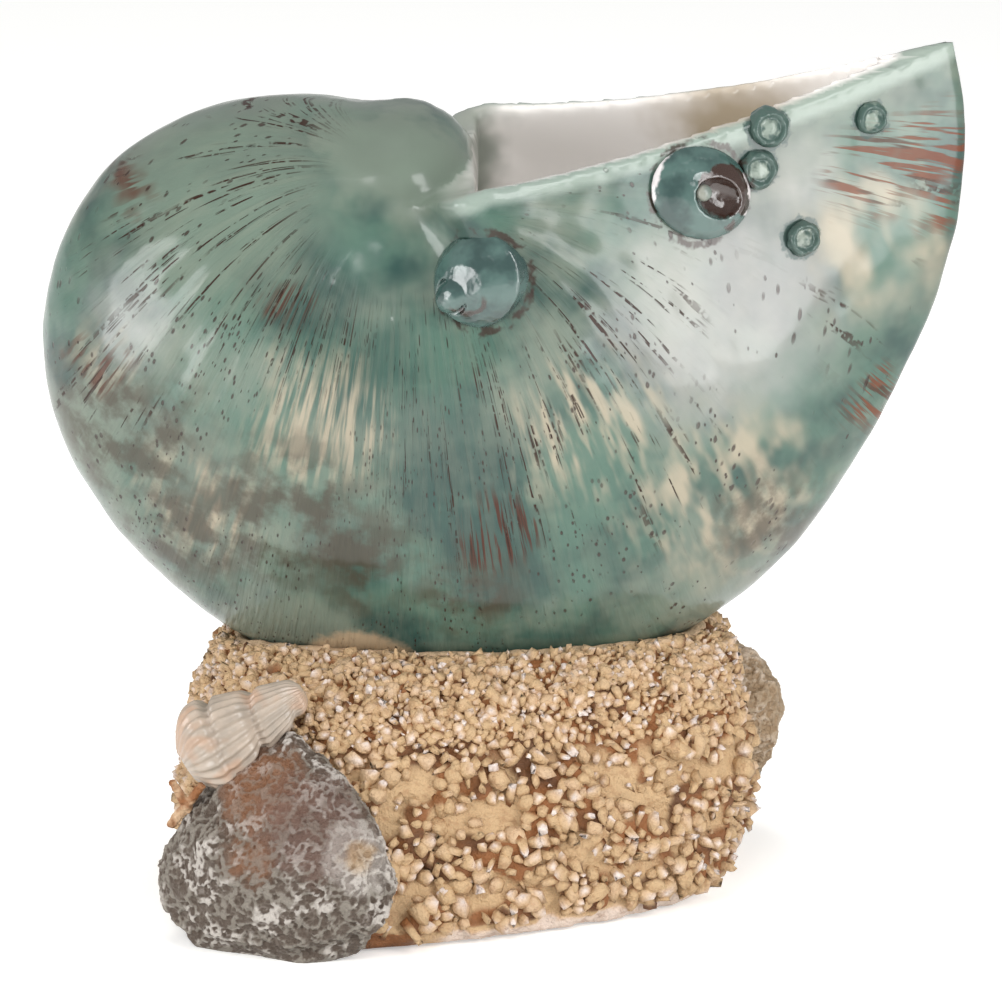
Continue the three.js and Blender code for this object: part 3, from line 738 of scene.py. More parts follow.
def shell_joints(tree, look, coat):
    """Coat with the pale lip, collars and rims round the small shells, and a smear of putty at the seat."""
    coat = paint(tree, coat, mark(tree, "lip"), look.lip, 0.7)
    close = ragged_place(tree, 2, 3.4)
    collars = [spot(tree, close, centre, 1.25 * reach, 0.9, 0.6 * reach) for centre, reach in BARNACLES]
    coat = paint(tree, coat, any_of(tree, collars), look.deep_teal, 0.85)
    coat = paint(tree, coat, spot(tree, in_plane(tree, close), PUTTY_SMEAR, 17, 3), look.putty, 0.75)
    left = spot(tree, close, LEFT_LIMPET, 12.3, 0.9, 10.6)
    right = spot(tree, close, RIGHT_LIMPET, 12.4, 0.9, 10.8)
    broken = use(tree, "soft_patches", size=4, least=0.42, most=0.56, detail=2, seed=12)
    rims = times(tree, calc(tree, "MAXIMUM", left, right), broken)
    return paint(tree, coat, rims, look.stroke, 0.85)


def shell_pearl(tree, look, place):
    """Pearl of the inside, flushed near the tip of the mouth, and sage by the roll."""
    flush = spot(tree, place, PEARL_FLUSH, 24, 18)
    pearl = blend(tree, flush, linear(look.pearl), linear(look.pearl_tan))
    return paint(tree, pearl, spot(tree, place, THROAT, 30, 14), look.sage, 0.85)


def lacquered_shell(look):
    """Verdigris paint with marks along the growth lines, and pearl inside, under lacquer worn at strokes."""
    material, tree, shader = new_material("verdigris_shell")
    place = in_plane(tree, ragged_place(tree, 9, 16))
    coat, band = shell_ground(tree, look, place)
    coat, strokes, rust = shell_strokes(tree, look, place, coat)
    pits = shell_pits(tree, place)
    coat = shell_joints(tree, look, paint(tree, coat, pits, look.stroke, 0.85))
    inside = mark(tree, "inside")
    worn = calc(tree, "MAXIMUM", rust, strokes)
    folds = use(tree, "growth_streaks", fineness=48, length=16, least=0.3, most=0.7, seed=17)
    height = calc(tree, "SUBTRACT", times(tree, strokes, -0.6), pits)
    height = calc(tree, "ADD", height, calc(tree, "ADD", times(tree, band, 0.4), times(tree, folds, 0.3)))
    height = times(tree, height, calc(tree, "SUBTRACT", 1.0, inside))
    plug(tree, shader, {
        "Base Color": blend(tree, inside, coat, shell_pearl(tree, look, place)),
        "Roughness": 0.36,
        "Specular IOR Level": 0.15,
        "Coat Weight": calc(tree, "SUBTRACT", 0.7, times(tree, worn, 0.5)),
        "Coat Roughness": 0.14,
        "Normal": bump(tree, height, 0.35),
    })
    return material


def lacquered_trim(look):
    """Dark teal paint of the limpets under gloss lacquer, with painted shade in dark brown in the crease
    under the nub and over the torn brown hollow, a chalk edge, and a painted chalk highlight beside the
    hollow.
    """
    material, tree, shader = new_material("verdigris_limpet")
    close = ragged_place(tree, 2, 1.6)
    mottle = use(tree, "soft_patches", size=7, least=0.35, most=0.65, detail=3)
    coat = blend(tree, mottle, linear(look.limpet_deep), linear(look.limpet))
    # Painted shade: dark brown in the crease on the nub's lower side
    crease = times(tree, spot(tree, close, LEFT_NUB, 5.6, 0.7, 4.4), spot(tree, close, NUB_SHADE_SIDE, 6, 1.5))
    coat = paint(tree, coat, crease, look.stroke, 0.85)
    edge = times(tree, spot(tree, close, TORN_EDGE, 18, 0.7, 15.1), 0.75)
    # Painted highlight: a chalk streak beside the torn hollow; the edge ring is chalk paint
    side_highlight = times(tree, spot(tree, close, TORN_SIDE_HIGHLIGHT, 5.6, 0.9), 0.9)
    coat = paint(tree, coat, calc(tree, "MAXIMUM", edge, side_highlight), look.chalk)
    # Painted shade: dark brown over the torn hollow and its edge
    torn = any_spot(tree, ragged_place(tree, 1.6, 1.8), TORN_HOLLOW_SHADE, 0.6)
    coat = paint(tree, coat, torn, look.stroke)
    lacquer = {"Roughness": 0.22, "Coat Weight": 1.0, "Coat Roughness": 0.05}
    plug(tree, shader, {"Base Color": coat, "Normal": bump(tree, mottle, 0.25), **lacquer})
    return material


def pearl_glaze(name, look, white, flush):
    """Pearl paint with a flush of another colour, under lacquer."""
    material, tree, shader = new_material(name)
    shade = use(tree, "soft_patches", size=6, least=0.35, most=0.65, detail=3)
    coat = paint(tree, linear(white), shade, look.oyster_grey, 0.5)
    patches = use(tree, "soft_patches", size=9, least=0.48, most=0.62, detail=2, seed=8)
    coat = paint(tree, coat, patches, flush, 0.55)
    plug(tree, shader, {"Base Color": coat, "Roughness": 0.4, "Coat Weight": 0.5, "Coat Roughness": 0.15})
    return material


def matt_finish(tree, shader, coat, roughness, size, detail, height):
    """Paint without lacquer, over a fine grain of a size and a height."""
    grain = use(tree, "soft_patches", size=size, least=0.2, most=0.8, detail=detail, seed=2)
    plug(tree, shader, {"Base Color": coat, "Roughness": roughness, "Normal": bump(tree, grain, height)})


def coral_crust(look):
    """Sand and coral chips: painted shade in brown between them and at their feet, sand in the bare hollows,
    and chalk on the tips of some.
    """
    material, tree, shader = new_material("coral_stand")
    rise = mark(tree, "rise")
    tint = mark(tree, "tint")
    # Painted shade: warm and dark brown, mingled in patches, between the chips and at their feet
    shade_tone_patches = use(tree, "soft_patches", size=12, least=0.4, most=0.62, detail=3)
    coat = blend(tree, shade_tone_patches, linear(look.ochre), linear(look.shade))
    coat = paint(tree, coat, stretch(tree, rise, 0.1, 0.45), look.sand)
    chip = blend(tree, stretch(tree, tint, 0.2, 0.6), linear(look.sand), linear(look.chip))
    coat = blend(tree, stretch(tree, rise, 0.45, 0.75), coat, chip)
    chalk = times(tree, stretch(tree, rise, 0.66, 1.0), stretch(tree, tint, 0.5, 0.66))
    coat = paint(tree, coat, chalk, look.chalk, 0.8)
    specks = use(tree, "soft_patches", size=2.2, least=0.5, most=0.7, detail=3, seed=11)
    coat = paint(tree, coat, specks, look.ochre, 0.35)
    matt_finish(tree, shader, coat, roughness=0.7, size=0.8, detail=2, height=0.3)
    return material


def oyster_crust(look):
    """Lacy grey and white ridges over brown, rusty and purple fields, with a white ring and sandy spots."""
    material, tree, shader = new_material("oyster_lace")
    place = ragged_place(tree, 4, 7)
    rusty = any_spot(tree, place, VALVE_RUST_MARKS, 7)
    field = blend(tree, rusty, linear(look.oyster_pit), linear(look.oyster_rust))
    mauve = spot(tree, place, VALVE_MAUVE, 16, 8)
    field = paint(tree, field, mauve, look.oyster_mauve, 0.75)
    halo = spot(tree, place, VALVE_EYE, 10, 4, 4)
    patches = use(tree, "soft_patches", size=8, least=0.5, most=0.6, seed=5)
    pale = calc(tree, "MAXIMUM", halo, patches)
    crest = blend(tree, pale, linear(look.oyster_grey), linear(look.oyster_white))
    stained = times(tree, calc(tree, "MAXIMUM", rusty, mauve), 0.6)
    ridges = stretch(tree, mark(tree, "ridge"), 0.3, 0.68)
    coat = blend(tree, times(tree, ridges, calc(tree, "SUBTRACT", 1.0, stained)), field, crest)
    coat = paint(tree, coat, spot(tree, place, VALVE_EYE, 10, 3, 5), look.oyster_white, 0.4)
    coat = paint(tree, coat, any_spot(tree, place, VALVE_SAND_MARKS, 4), look.sand, 0.5)
    matt_finish(tree, shader, coat, roughness=0.6, size=0.9, detail=3, height=0.5)
    return material


def plain_crust(name, under, over):
    """Matt filler or coral in two mingled colours."""
    material, tree, shader = new_material(name)
    mottle = use(tree, "soft_patches", size=5, least=0.35, most=0.65)
    coat = blend(tree, mottle, linear(under), linear(over))
    matt_finish(tree, shader, coat, roughness=0.7, size=1, detail=3, height=0.3)
    return material


# Settings


def colour(name, description, default):
    return FloatVectorProperty(
        name=name, description=description, default=default, subtype="COLOR_GAMMA", size=3, min=0, max=1)


def length(name, description, default):
    return FloatProperty(name=name, description=description, default=default, unit="LENGTH", min=0)


def power(name, description, default):
    return FloatProperty(name=name, description=description, default=default, unit="POWER")


class FigurineColours(bpy.types.PropertyGroup):
    """Paint of the figurine, as screen colours."""

    teal: colour("Teal", "Main verdigris paint of the shell", (0.3, 0.41, 0.36))
    deep_teal: colour("Deep teal", "Darker verdigris between the teal", (0.16, 0.27, 0.25))
    sage: colour("Sage", "Grey-green patches", (0.44, 0.48, 0.43))
    cream: colour("Cream", "Pale bands along the growth lines", (0.64, 0.6, 0.52))
    # Painted highlight: this pearly bloom is laid where the highlights fall on the flanks
    lilac: colour("Lilac", "Pearly bloom on the flanks", (0.72, 0.7, 0.69))
    lip: colour("Lip", "Pale band along the lip", (0.62, 0.67, 0.63))
    rust: colour("Rust", "Red-brown strokes", (0.3, 0.13, 0.08))
    ember: colour("Ember", "Orange-brown strokes at the tip", (0.43, 0.2, 0.1))
    stroke: colour("Stroke", "Dark brown strokes and pits", (0.2, 0.13, 0.1))
    smoke: colour("Smoke", "Smoky brown clouds", (0.24, 0.2, 0.15))
    pearl: colour("Pearl", "Inside of the bowl", (0.97, 0.95, 0.93))
    pearl_tan: colour("Pearl tan", "Flushed parts of the inside", (0.7, 0.64, 0.55))
    limpet: colour("Limpet", "Lighter paint of the limpets", (0.28, 0.38, 0.36))
    limpet_deep: colour("Deep limpet", "Darker paint of the limpets", (0.17, 0.26, 0.25))
    bead: colour("Bead", "Bead in the torn limpet", (0.55, 0.56, 0.52))
    whelk: colour("Whelk", "White of the whelk", (0.68, 0.62, 0.56))
    peach: colour("Peach", "Flush on the whelk", (0.7, 0.55, 0.44))
    sand: colour("Sand", "Bare hollows of the stand", (0.75, 0.63, 0.48))
    # Ochre and shade are painted shade between the chips; they are also the own colour of the foot's ochre
    # band, and ochre of the twig
    ochre: colour("Ochre", "Warm brown between the chips", (0.53, 0.34, 0.19))
    shade: colour("Shade", "Dark brown between the chips", (0.36, 0.23, 0.13))
    chip: colour("Chip", "Coral chips", (0.79, 0.67, 0.54))
    chalk: colour("Chalk", "Tips of the coral chips", (0.92, 0.89, 0.89))
    putty: colour("Putty", "Filler round the shell's seat", (0.72, 0.62, 0.5))
    oyster_grey: colour("Oyster grey", "Ridges of the oyster valves", (0.52, 0.49, 0.45))
    oyster_white: colour("Oyster white", "Pale ridges of the oyster valves", (0.74, 0.71, 0.68))
    oyster_pit: colour("Oyster pit", "Pits of the oyster valves", (0.34, 0.29, 0.25))
    oyster_rust: colour("Oyster rust", "Rusty field of the oyster valves", (0.48, 0.33, 0.23))
    oyster_mauve: colour("Oyster mauve", "Purple field of the oyster valves", (0.41, 0.31, 0.27))


class FigurineSizes(bpy.types.PropertyGroup):
    """Fineness of the skins, and the relief on them."""

    shell_skin: length("Shell skin", "Edge of the shell's even skin", 1.25 * MM)
    growth_fold: length("Growth fold", "Height of the folds along the growth lines", 0.45 * MM)
    dent: length("Dent", "Height of the soft dents of the casting", 0.4 * MM)
    chip_gap: length("Chip gap", "Least distance between the coral chips", 1.95 * MM)
    chip_size: length("Chip size", "Half the size of a coral chip", 1.75 * MM)
    oyster_cell: length("Oyster cell", "Size of the pits on the oyster valves", 1.55 * MM)
    oyster_depth: length("Oyster depth", "Depth of the pits on the oyster valves", 0.95 * MM)


class FigurineStage(bpy.types.PropertyGroup):
    """Camera, floor and lamps."""

    distance: length("Distance", "From the camera to the figurine", 2.0)
    field: length("Field", "Width of the view at the figurine", 0.22)
    elevation: FloatProperty(
        name="Elevation", description="Camera above the level", default=math.radians(18), subtype="ANGLE")
    floor: colour("Floor", "Floor and backdrop", (0.97, 0.97, 0.96))
    left_watts: power("Left", "Power of the left softbox", 1.5)
    right_watts: power("Right", "Power of the right softbox", 1.1)
    lip_watts: power("Lip", "Power of the small high softbox", 3.2)
    front_watts: power("Front", "Power of the large front fill", 7.4)
    top_watts: power("Top", "Power of the fill from above", 3.4)


class PieceOperator(bpy.types.Operator):
    """Shared settings of the operators that build pieces."""

    bl_options = {"REGISTER", "UNDO"}

    @property
    def colours(self):
        return bpy.context.scene.figurine_colours

    @property
    def sizes(self):
        return bpy.context.scene.figurine_sizes


class FIGURINE_OT_groups(PieceOperator):
    """Build the paint effects that the materials share"""

    bl_idname = "figurine.groups"
    bl_label = "Paint effects"

    def execute(self, context):
        for make in (make_streaks, make_pits, make_patches):
            make()
        return {"FINISHED"}


class FIGURINE_OT_shell(PieceOperator):
    """Build the nautilus shell: its coil with the mouth cut out, growth folds and dents"""

    bl_idname = "figurine.shell"
    bl_label = "Nautilus shell"

    def settle(self, shell):
        """Puts the skin near the keel on its curve again, so that the keel runs without steps."""
        for vert in shell.data.vertices:
            point = vert.co / MM
            back, radius, depth = coil_reading(point)
            if back < KEEL_RUN and depth < KEEL_REACH and radius > KEEL_SHARE * whorl_radius(back):
                vert.co = coil_point(back, keel_curve(back, abs(point.y)), point.y) * MM

    def shore(self, radius):
        """How far a point lies out of the roll's axis, where the lip and the pearl end."""
        return smoothstep(radius, SADDLE_RADIUS / 2, SADDLE_RADIUS)

    def pearl(self, back, radius, depth):
        """How much a point lies in the pearl inside: under the outside, and within the tip's thick wall."""
        rim = whorl_radius(back) - lerp(TIP_WALL, KEEL_WALL, smoothstep(back, 0, TIP_WALL_RUN))
        under = smoothstep(depth, PEARL_FROM, PEARL_FULL)
        return self.shore(radius) * under * (1 - smoothstep(radius, rim, rim + RIM_FADE))

    def lip_band(self, back, radius):
        """How much a point lies in the pale band along the lip."""
        behind = math.radians(back - lip_back(min(1, radius / whorl_radius(0)))) * radius
        return self.shore(radius) * (1 - smoothstep(behind, LIP_BAND - LIP_BAND_FADE, LIP_BAND))

    def relief(self, point):
        """Folds and dents, and how much a point lies in the pearl and in the band along the lip."""
        back, radius, depth = coil_reading(point)
        inside = self.pearl(back, radius, depth)
        ray = growth_ray(point, radius) * FOLD_FINENESS
        ray.z = radius / FOLD_LENGTH + point.y / FOLD_BREADTH
        strength = smoothstep(radius, *FOLD_START) * (1 - FOLD_LOSS * smoothstep(radius, *FOLD_FADE))
        fold = self.sizes.growth_fold * noise.noise(ray) * strength
        dent = self.sizes.dent * (ripple(point, 1, DENT_GRAIN) + ripple(point, SMALL_DENT, SMALL_DENT_GRAIN))
        return lerp(fold + dent, INSIDE_DENT * dent, inside) / MM, inside, self.lip_band(back, radius)

    def execute(self, context):
        shell = new_object("shell_skin", warped_grid(SHELL_COLUMNS, SHELL_ROWS, shell_point))
        cutter = new_object("shell_hollow", warped_grid(HOLLOW_COLUMNS, HOLLOW_ROWS, hollow_point))
        cut = shell.modifiers.new("hollow", "BOOLEAN")
        cut.object = cutter
        cut.operation = "DIFFERENCE"
        quad_skin(shell, self.sizes.shell_skin / MM)
        round_off(shell, SHELL_SMOOTHING)
        bpy.data.objects.remove(cutter)
        self.settle(shell)
        carve(shell, self.relief, "inside", "lip")
        dress(shell, lacquered_shell(self.colours), "shell_bowl")
        return {"FINISHED"}


class FIGURINE_OT_putty(PieceOperator):
    """Build the filler between the shell and the stand"""

    bl_idname = "figurine.putty"
    bl_label = "Seat putty"

    def relief(self, point):
        return (ripple(point, *PUTTY_RELIEF),)

    def execute(self, context):
        putty = even_piece("seat_putty_skin", "seat_putty", *PUTTY_SKIN)
        carve(putty, self.relief)
        look = self.colours
        dress(putty, plain_crust("sandy_putty", look.putty, look.chip), "seat_putty")
        return {"FINISHED"}


class FIGURINE_OT_stand(PieceOperator):
    """Build the coral rock stand: a lumpy rock, and angular chips set all over it"""

    bl_idname = "figurine.stand"
    bl_label = "Coral stand"

    def bare(self, point):
        """How bare of chips the rock is at a place: hollows below the upper band of gravel."""
        hollow = smoothstep(noise.noise(point / BARE_GRAIN + BARE_SHIFT), *BARE_EDGE)
        return hollow * (1 - smoothstep(point.z, *GRAVEL_HEIGHT))

    def relief(self, point):
        """Lumps and hollows over a foot with a ledge, how pale the rock is, low paleness painting shade in
        brown between the chips, and how chalky it is.
        """
        bare = self.bare(point)
        lump = noise.fractal(point / LUMP_GRAIN, *LUMP_FRACTAL)
        foot = 1 - smoothstep(point.z, *FOOT_HEIGHT)
        ochre = smoothstep(-point.x, *OCHRE_LEFT) * smoothstep(-point.y, *OCHRE_FRONT)
        ledge = foot * smoothstep(point.z, *LEDGE_HEIGHT) * (1 - ochre)
        rise = smoothstep(point.z, *LUMP_HEIGHT) * (LUMP_RISE * lump - BARE_DEPTH * bare) + LEDGE_RISE * ledge
        # Where chips crowd, the low paleness paints the rock brown as shade between them
        paleness = lerp(lerp(*ROCK_PALENESS, bare), lerp(*FOOT_PALENESS, ochre), foot)
        return rise, paleness, lerp(*ROCK_TINT, foot)

    def chip_scale(self, point):
        """Size and spacing of the chips at a place: dense gravel in the upper band, coral lumps below it."""
        gravel = smoothstep(point.z, *GRAVEL_HEIGHT)
        return lerp(*CHIP_SIZES, gravel), lerp(*CHIP_GAPS, gravel)

    def seats(self, rock, chance):
        """Places for chips on the rock, apart from each other, off its foot and clear of the shell."""
        faces = [face for face in rock.data.polygons if face.center.z > CHIP_FOOT * MM]
        taken = {}
        steps = [(i, j, k) for i in (-1, 0, 1) for j in (-1, 0, 1) for k in (-1, 0, 1)]
        for face in chance.sample(faces, len(faces)):
            point = face.center / MM
            if coil_reading(point)[2] > -CHIP_CLEAR or chance.random() < BARE_CHANCE * self.bare(point):
                continue
            gap = self.sizes.chip_gap / MM * self.chip_scale(point)[1]
            cell = [int(part // CHIP_CELL) for part in point]
            near = [seat for step in steps for seat in taken.get(tuple(map(sum, zip(cell, step))), ())]
            if any((other - point).length < gap for other in near):
                continue
            taken.setdefault(tuple(cell), []).append(point)
            yield point, face.normal.copy()

    def chip(self, mesh, point, normal, chance, layers):
        """One angular chip, a pebble or a shard, set into the rock at a slant."""
        size = self.sizes.chip_size * self.chip_scale(point)[0] * chance.uniform(*CHIP_SPREAD)
        lean = Vector([chance.gauss(0, CHIP_LEAN) for axis in range(3)])
        turn = (normal + lean).to_track_quat("Z", "Y").to_matrix().to_4x4()
        spin = Matrix.Rotation(chance.uniform(0, math.tau), 4, "Z")
        place = Matrix.Translation(point * MM) @ turn @ spin
        if chance.random() < PEBBLE_SHARE:
            made = bmesh.ops.create_icosphere(mesh, subdivisions=1, radius=1)
            limits = PEBBLE_SHAPE
        else:
            made = bmesh.ops.create_cone(
                mesh, cap_ends=True, segments=SHARD_SIDES, radius1=1, radius2=SHARD_TOP, depth=2)
            limits = SHARD_SHAPE
        shape = Vector([chance.uniform(*limit) for limit in limits])
        tint = chance.random()
        for vert in made["verts"]:
            # A chip is painted brown at its foot, as painted shade where it meets the rock, and paler up to
            # its top
            vert[layers["rise"]] = CHIP_PALENESS + CHIP_PALENESS * vert.co.z
            vert[layers["tint"]] = tint
            jitter = Vector([chance.uniform(-CHIP_JITTER, CHIP_JITTER) for axis in range(3)])
            vert.co = place @ ((vert.co + jitter) * shape * size)

    def execute(self, context):
        rock = even_piece("reef_rock", "reef_stand", *ROCK_SKIN)
        carve(rock, self.relief, "rise", "tint")
        crust = coral_crust(self.colours)
        dress(rock, crust, "reef_stand")
        chance = random.Random(CHIP_SEED)
        seats = list(self.seats(rock, chance))
        whole = bmesh.new()
        handful = bpy.data.meshes.new("handful")
        for start in range(0, len(seats), CHIPS_IN_HANDFUL):
            mesh = bmesh.new()
            layers = {name: mesh.verts.layers.float.new(name) for name in ("rise", "tint")}
            for point, normal in seats[start:start + CHIPS_IN_HANDFUL]:
                self.chip(mesh, point, normal, chance, layers)
            bmesh.ops.recalc_face_normals(mesh, faces=mesh.faces)
            mesh.to_mesh(handful)
            mesh.free()
            whole.from_mesh(handful)
        chips = new_object("reef_chips", whole)
        chips.data.shade_smooth()
        dress(chips, crust, None)
        return {"FINISHED"}


class FIGURINE_OT_limpets(PieceOperator):
    """Build the two slipper limpets on the flank, and the bead in the torn one"""

    bl_idname = "figurine.limpets"
    bl_label = "Slipper limpets"

    def execute(self, context):
        look = self.colours
        gloss = lacquered_trim(look)
        for node in ("limpet_left", "limpet_right"):
            dress(even_piece(node + "_skin", node, *LIMPET_SKIN), gloss, node)
        bead = even_piece("limpet_right_bead_skin", "limpet_right_bead", *BEAD_SKIN)
        pearl = pearl_glaze("pearl_bead", look, look.bead, look.limpet)
        dress(bead, pearl, "limpet_right_bead")
        return {"FINISHED"}


class FIGURINE_OT_barnacles(PieceOperator):
    """Build the acorn barnacles near the tip of the mouth"""

    bl_idname = "figurine.barnacles"
    bl_label = "Barnacles"

    def relief(self, point):
        return ripple(point, *BARNACLE_RELIEF), 0.0, BARNACLE_PALENESS

    def execute(self, context):
        for number in range(1, len(BARNACLES) + 1):
            node = f"barnacle_{number}"
            barnacle = even_piece(node + "_skin", node, *BARNACLE_SKIN)
            carve(barnacle, self.relief, "inside", "lip")
            dress(barnacle, bpy.data.materials["verdigris_shell"], node)
        return {"FINISHED"}


class FIGURINE_OT_oysters(PieceOperator):
    """Build the crusted oyster valves on the stand"""

    bl_idname = "figurine.oysters"
    bl_label = "Oyster valves"

    def relief(self, point):
        """Lace of pits and crests over lumps, level at the table, and how much of a ridge a point is."""
        warp = Vector([noise.noise(point / LACE_WARP_GRAIN + shift) for shift in LACE_SHIFTS]) * LACE_WARP
        nearest, second, *others = noise.voronoi((point + warp) / (self.sizes.oyster_cell / MM))[0]
        wall = 1 - min(1, (second - nearest) * PIT_WALL)
        crests = 1 - min(1, CREST_SHARPNESS * abs(noise.fractal(point / CREST_GRAIN, *CREST_FRACTAL)))
        lace = lerp(wall, crests, CREST_SHARE)
        lump = noise.fractal(point / VALVE_LUMP_GRAIN, *VALVE_LUMP_FRACTAL)
        rise = self.sizes.oyster_depth / MM * (lace - LACE_MIDDLE) + lump
        return smoothstep(point.z, *VALVE_HEIGHT) * rise, lace

    def execute(self, context):
        crust = oyster_crust(self.colours)
        for node in ("oyster_front", "oyster_rear"):
            valve = even_piece(node + "_skin", node, *OYSTER_SKIN)
            carve(valve, self.relief, "ridge")
            dress(valve, crust, node)
        return {"FINISHED"}


def whelk_girth(share):
    """Radius of the whelk at a share of its length, without its ribs and sutures."""
    mouth = min(1, WHELK_MOUTH_SHARE + share / WHELK_SHOULDER)
    siphon = math.sin(math.pi / 2 * mouth) ** WHELK_GROWTH
    climbed = max(0, share - WHELK_SHOULDER) / (1 - WHELK_SHOULDER)
    tip = math.sqrt(max(0, 1 - max(0, (share - WHELK_TIP_SHARE) / WHELK_TIP_RUN) ** 2))
    return lerp(WHELK_RADIUS, WHELK_APEX, climbed) * siphon * tip


def whelk_point(u, v):
    """Skin of the whelk along its own Z: u goes round it, and v from the siphon to the apex."""
    turn = round(u * WHELK_COLUMNS) % WHELK_COLUMNS / WHELK_COLUMNS
    angle = math.tau * turn
    girth = whelk_girth(v)
    whorl = (WHELK_WHORLS * v ** WHELK_GROWTH + turn) % 1
    spire = smoothstep(v, WHELK_MOUTH_SHARE, WHELK_SPIRE_SHARE)
    suture = WHELK_SUTURE * spire * math.exp(-((min(whorl, 1 - whorl) / WHELK_SUTURE_RUN) ** 2))
    rib = WHELK_RIB * math.cos(WHELK_RIBS * angle) * girth / WHELK_RADIUS
    radius = girth * (1 - suture) + rib
    return Vector((radius * math.cos(angle), radius * math.sin(angle), WHELK_LENGTH * v))


class FIGURINE_OT_whelk(PieceOperator):
    """Build the small ribbed whelk at the upper left of the stand"""

    bl_idname = "figurine.whelk"
    bl_label = "Whelk"

    def execute(self, context):
        mesh = warped_grid(WHELK_COLUMNS, WHELK_ROWS, whelk_point)
        axis = Matrix.Rotation(math.radians(90 - WHELK_RISE), 4, "Y")
        heading = Matrix.Rotation(math.radians(WHELK_HEADING), 4, "Z")
        place = Matrix.Translation(WHELK_FOOT * MM) @ heading @ axis
        bmesh.ops.transform(mesh, matrix=place, verts=mesh.verts)
        whelk = new_object("whelk_skin", mesh)
        whelk.data.shade_smooth()
        look = self.colours
        dress(whelk, pearl_glaze("pearl_whelk", look, look.whelk, look.peach), "whelk")
        return {"FINISHED"}


class FIGURINE_OT_twig(PieceOperator):
    """Build the crossed coral sticks under the whelk"""

    bl_idname = "figurine.twig"
    bl_label = "Coral twig"

    def relief(self, point):
        return (ripple(point, *TWIG_RELIEF),)

    def execute(self, context):
        twig = even_piece("coral_twig_skin", "coral_twig", *TWIG_SKIN)
        carve(twig, self.relief)
        look = self.colours
        dress(twig, plain_crust("ochre_twig", look.ochre, look.chip), "coral_twig")
        return {"FINISHED"}


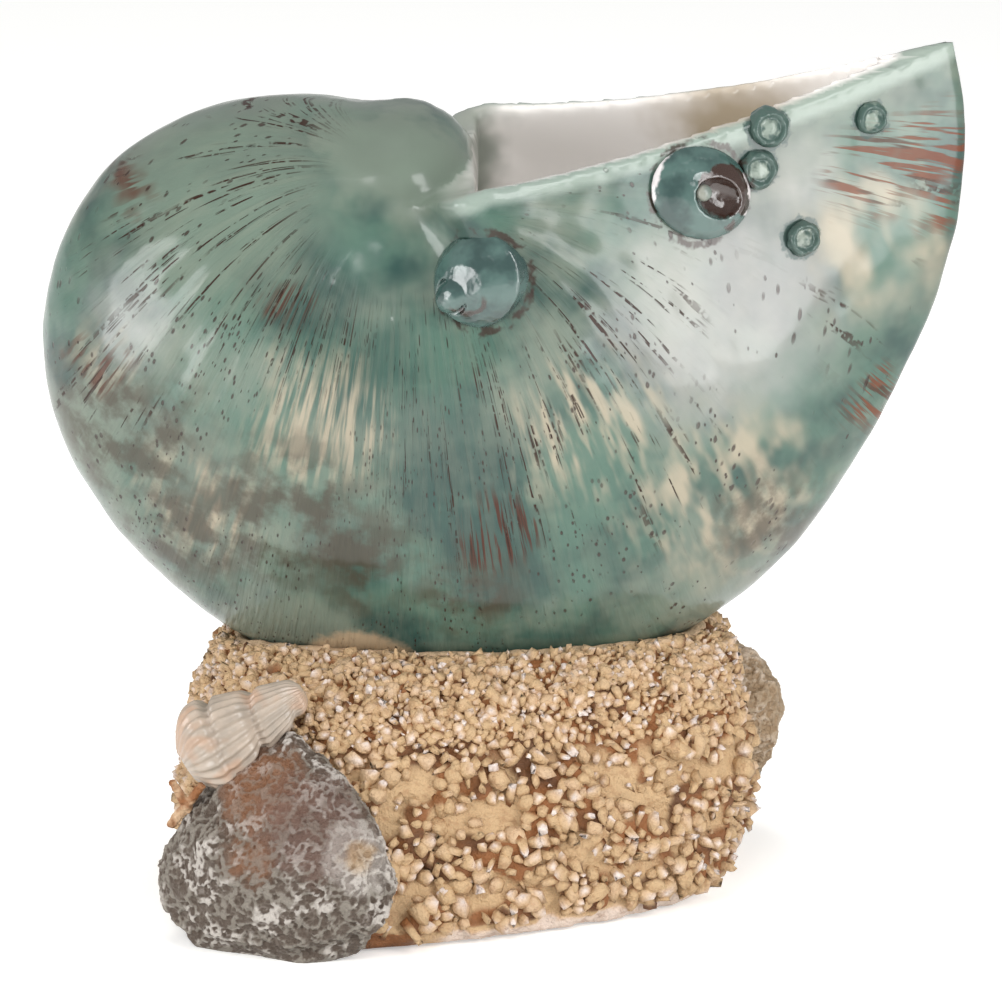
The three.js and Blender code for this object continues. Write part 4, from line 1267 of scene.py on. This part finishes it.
class FIGURINE_OT_stage(PieceOperator):
    """Set up the floor, the softboxes and the camera"""

    bl_idname = "figurine.stage"
    bl_label = "Stage"

    def softbox(self, name, place, size, watts):
        """Lamp that faces the figurine, unseen by the camera. A fill isn't seen in reflections either."""
        lamp = bpy.data.lights.new(name, "AREA")
        lamp.shape = "RECTANGLE"
        lamp.size, lamp.size_y = size
        lamp.energy = watts
        made = bpy.data.objects.new(name, lamp)
        made.location = place
        made.visible_camera = False
        made.visible_glossy = name not in FILLS
        made.rotation_euler = (TARGET - Vector(place)).to_track_quat("-Z", "Y").to_euler()
        bpy.context.scene.collection.objects.link(made)

    def floor(self, look):
        """Pale floor, lifted to white for the rays that see it, which keeps the figurine's shadow."""
        mesh = bmesh.new()
        bmesh.ops.create_grid(mesh, x_segments=1, y_segments=1, size=FLOOR_HALF)
        made = new_object("floor", mesh)
        material, tree, shader = new_material("pale_floor")
        path = put(tree, "ShaderNodeLightPath").outputs
        seen = any_of(tree, [path[f"Is {ray} Ray"] for ray in ("Camera", "Glossy", "Transmission")])
        plug(tree, shader, {
            "Base Color": linear(look.floor),
            "Roughness": 0.9,
            "Emission Color": (1, 1, 1, 1),
            "Emission Strength": times(tree, seen, FLOOR_LIFT),
        })
        made.data.materials.append(material)
        made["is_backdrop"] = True

    def camera(self, look):
        """Camera straight before the figurine, raised by the elevation."""
        lens = bpy.data.cameras.new("camera")
        lens.lens = lens.sensor_width * look.distance / look.field
        lens.clip_end = VIEW_END
        made = bpy.data.objects.new("camera", lens)
        away = Vector((0, -math.cos(look.elevation), math.sin(look.elevation)))
        made.location = TARGET + away * look.distance
        made.rotation_euler = (-away).to_track_quat("-Z", "Y").to_euler()
        bpy.context.scene.collection.objects.link(made)
        return made

    def execute(self, context):
        scene = context.scene
        look = scene.figurine_stage
        scene.view_settings.view_transform = "Standard"
        scene.world = bpy.data.worlds.new("studio")
        scene.world.use_nodes = True
        tree = scene.world.node_tree
        plug(tree, tree.nodes["Background"].inputs, {"Color": (1, 1, 1, 1), "Strength": WORLD_STRENGTH})
        self.floor(look)
        for name, (place, size) in SOFTBOXES.items():
            self.softbox(name, place, size, getattr(look, name + "_watts"))
        scene.camera = self.camera(look)
        return {"FINISHED"}


class FIGURINE_PT_panel(bpy.types.Panel):
    """Settings and operators of the figurine"""

    bl_label = "Nautilus bowl"
    bl_idname = "FIGURINE_PT_panel"
    bl_space_type = "VIEW_3D"
    bl_region_type = "UI"
    bl_category = "Figurine"

    def draw(self, context):
        for group in ("figurine_sizes", "figurine_colours", "figurine_stage"):
            settings = getattr(context.scene, group)
            for name in settings.bl_rna.properties.keys():
                if name not in ("rna_type", "name"):
                    self.layout.prop(settings, name)
        for operator in OPERATORS:
            self.layout.operator(operator.bl_idname)


OPERATORS = (
    FIGURINE_OT_groups, FIGURINE_OT_shell, FIGURINE_OT_putty, FIGURINE_OT_stand, FIGURINE_OT_limpets,
    FIGURINE_OT_barnacles, FIGURINE_OT_oysters, FIGURINE_OT_whelk, FIGURINE_OT_twig, FIGURINE_OT_stage,
)
SETTINGS = {
    "figurine_colours": FigurineColours,
    "figurine_sizes": FigurineSizes,
    "figurine_stage": FigurineStage,
}


def register():
    for kind in (*SETTINGS.values(), *OPERATORS, FIGURINE_PT_panel):
        bpy.utils.register_class(kind)
    for name, kind in SETTINGS.items():
        setattr(bpy.types.Scene, name, PointerProperty(type=kind))


def unregister():
    for name in SETTINGS:
        delattr(bpy.types.Scene, name)
    for kind in reversed((*SETTINGS.values(), *OPERATORS, FIGURINE_PT_panel)):
        bpy.utils.unregister_class(kind)


def main():
    register()
    for operator in OPERATORS:
        group, name = operator.bl_idname.split(".")
        getattr(getattr(bpy.ops, group), name)()
    boxes = {"cad": CAD_BOX, "visual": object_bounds()}
    {name: [list(corner) for corner in box] for name, box in boxes.items()}


if __name__ == "__main__":
    main()
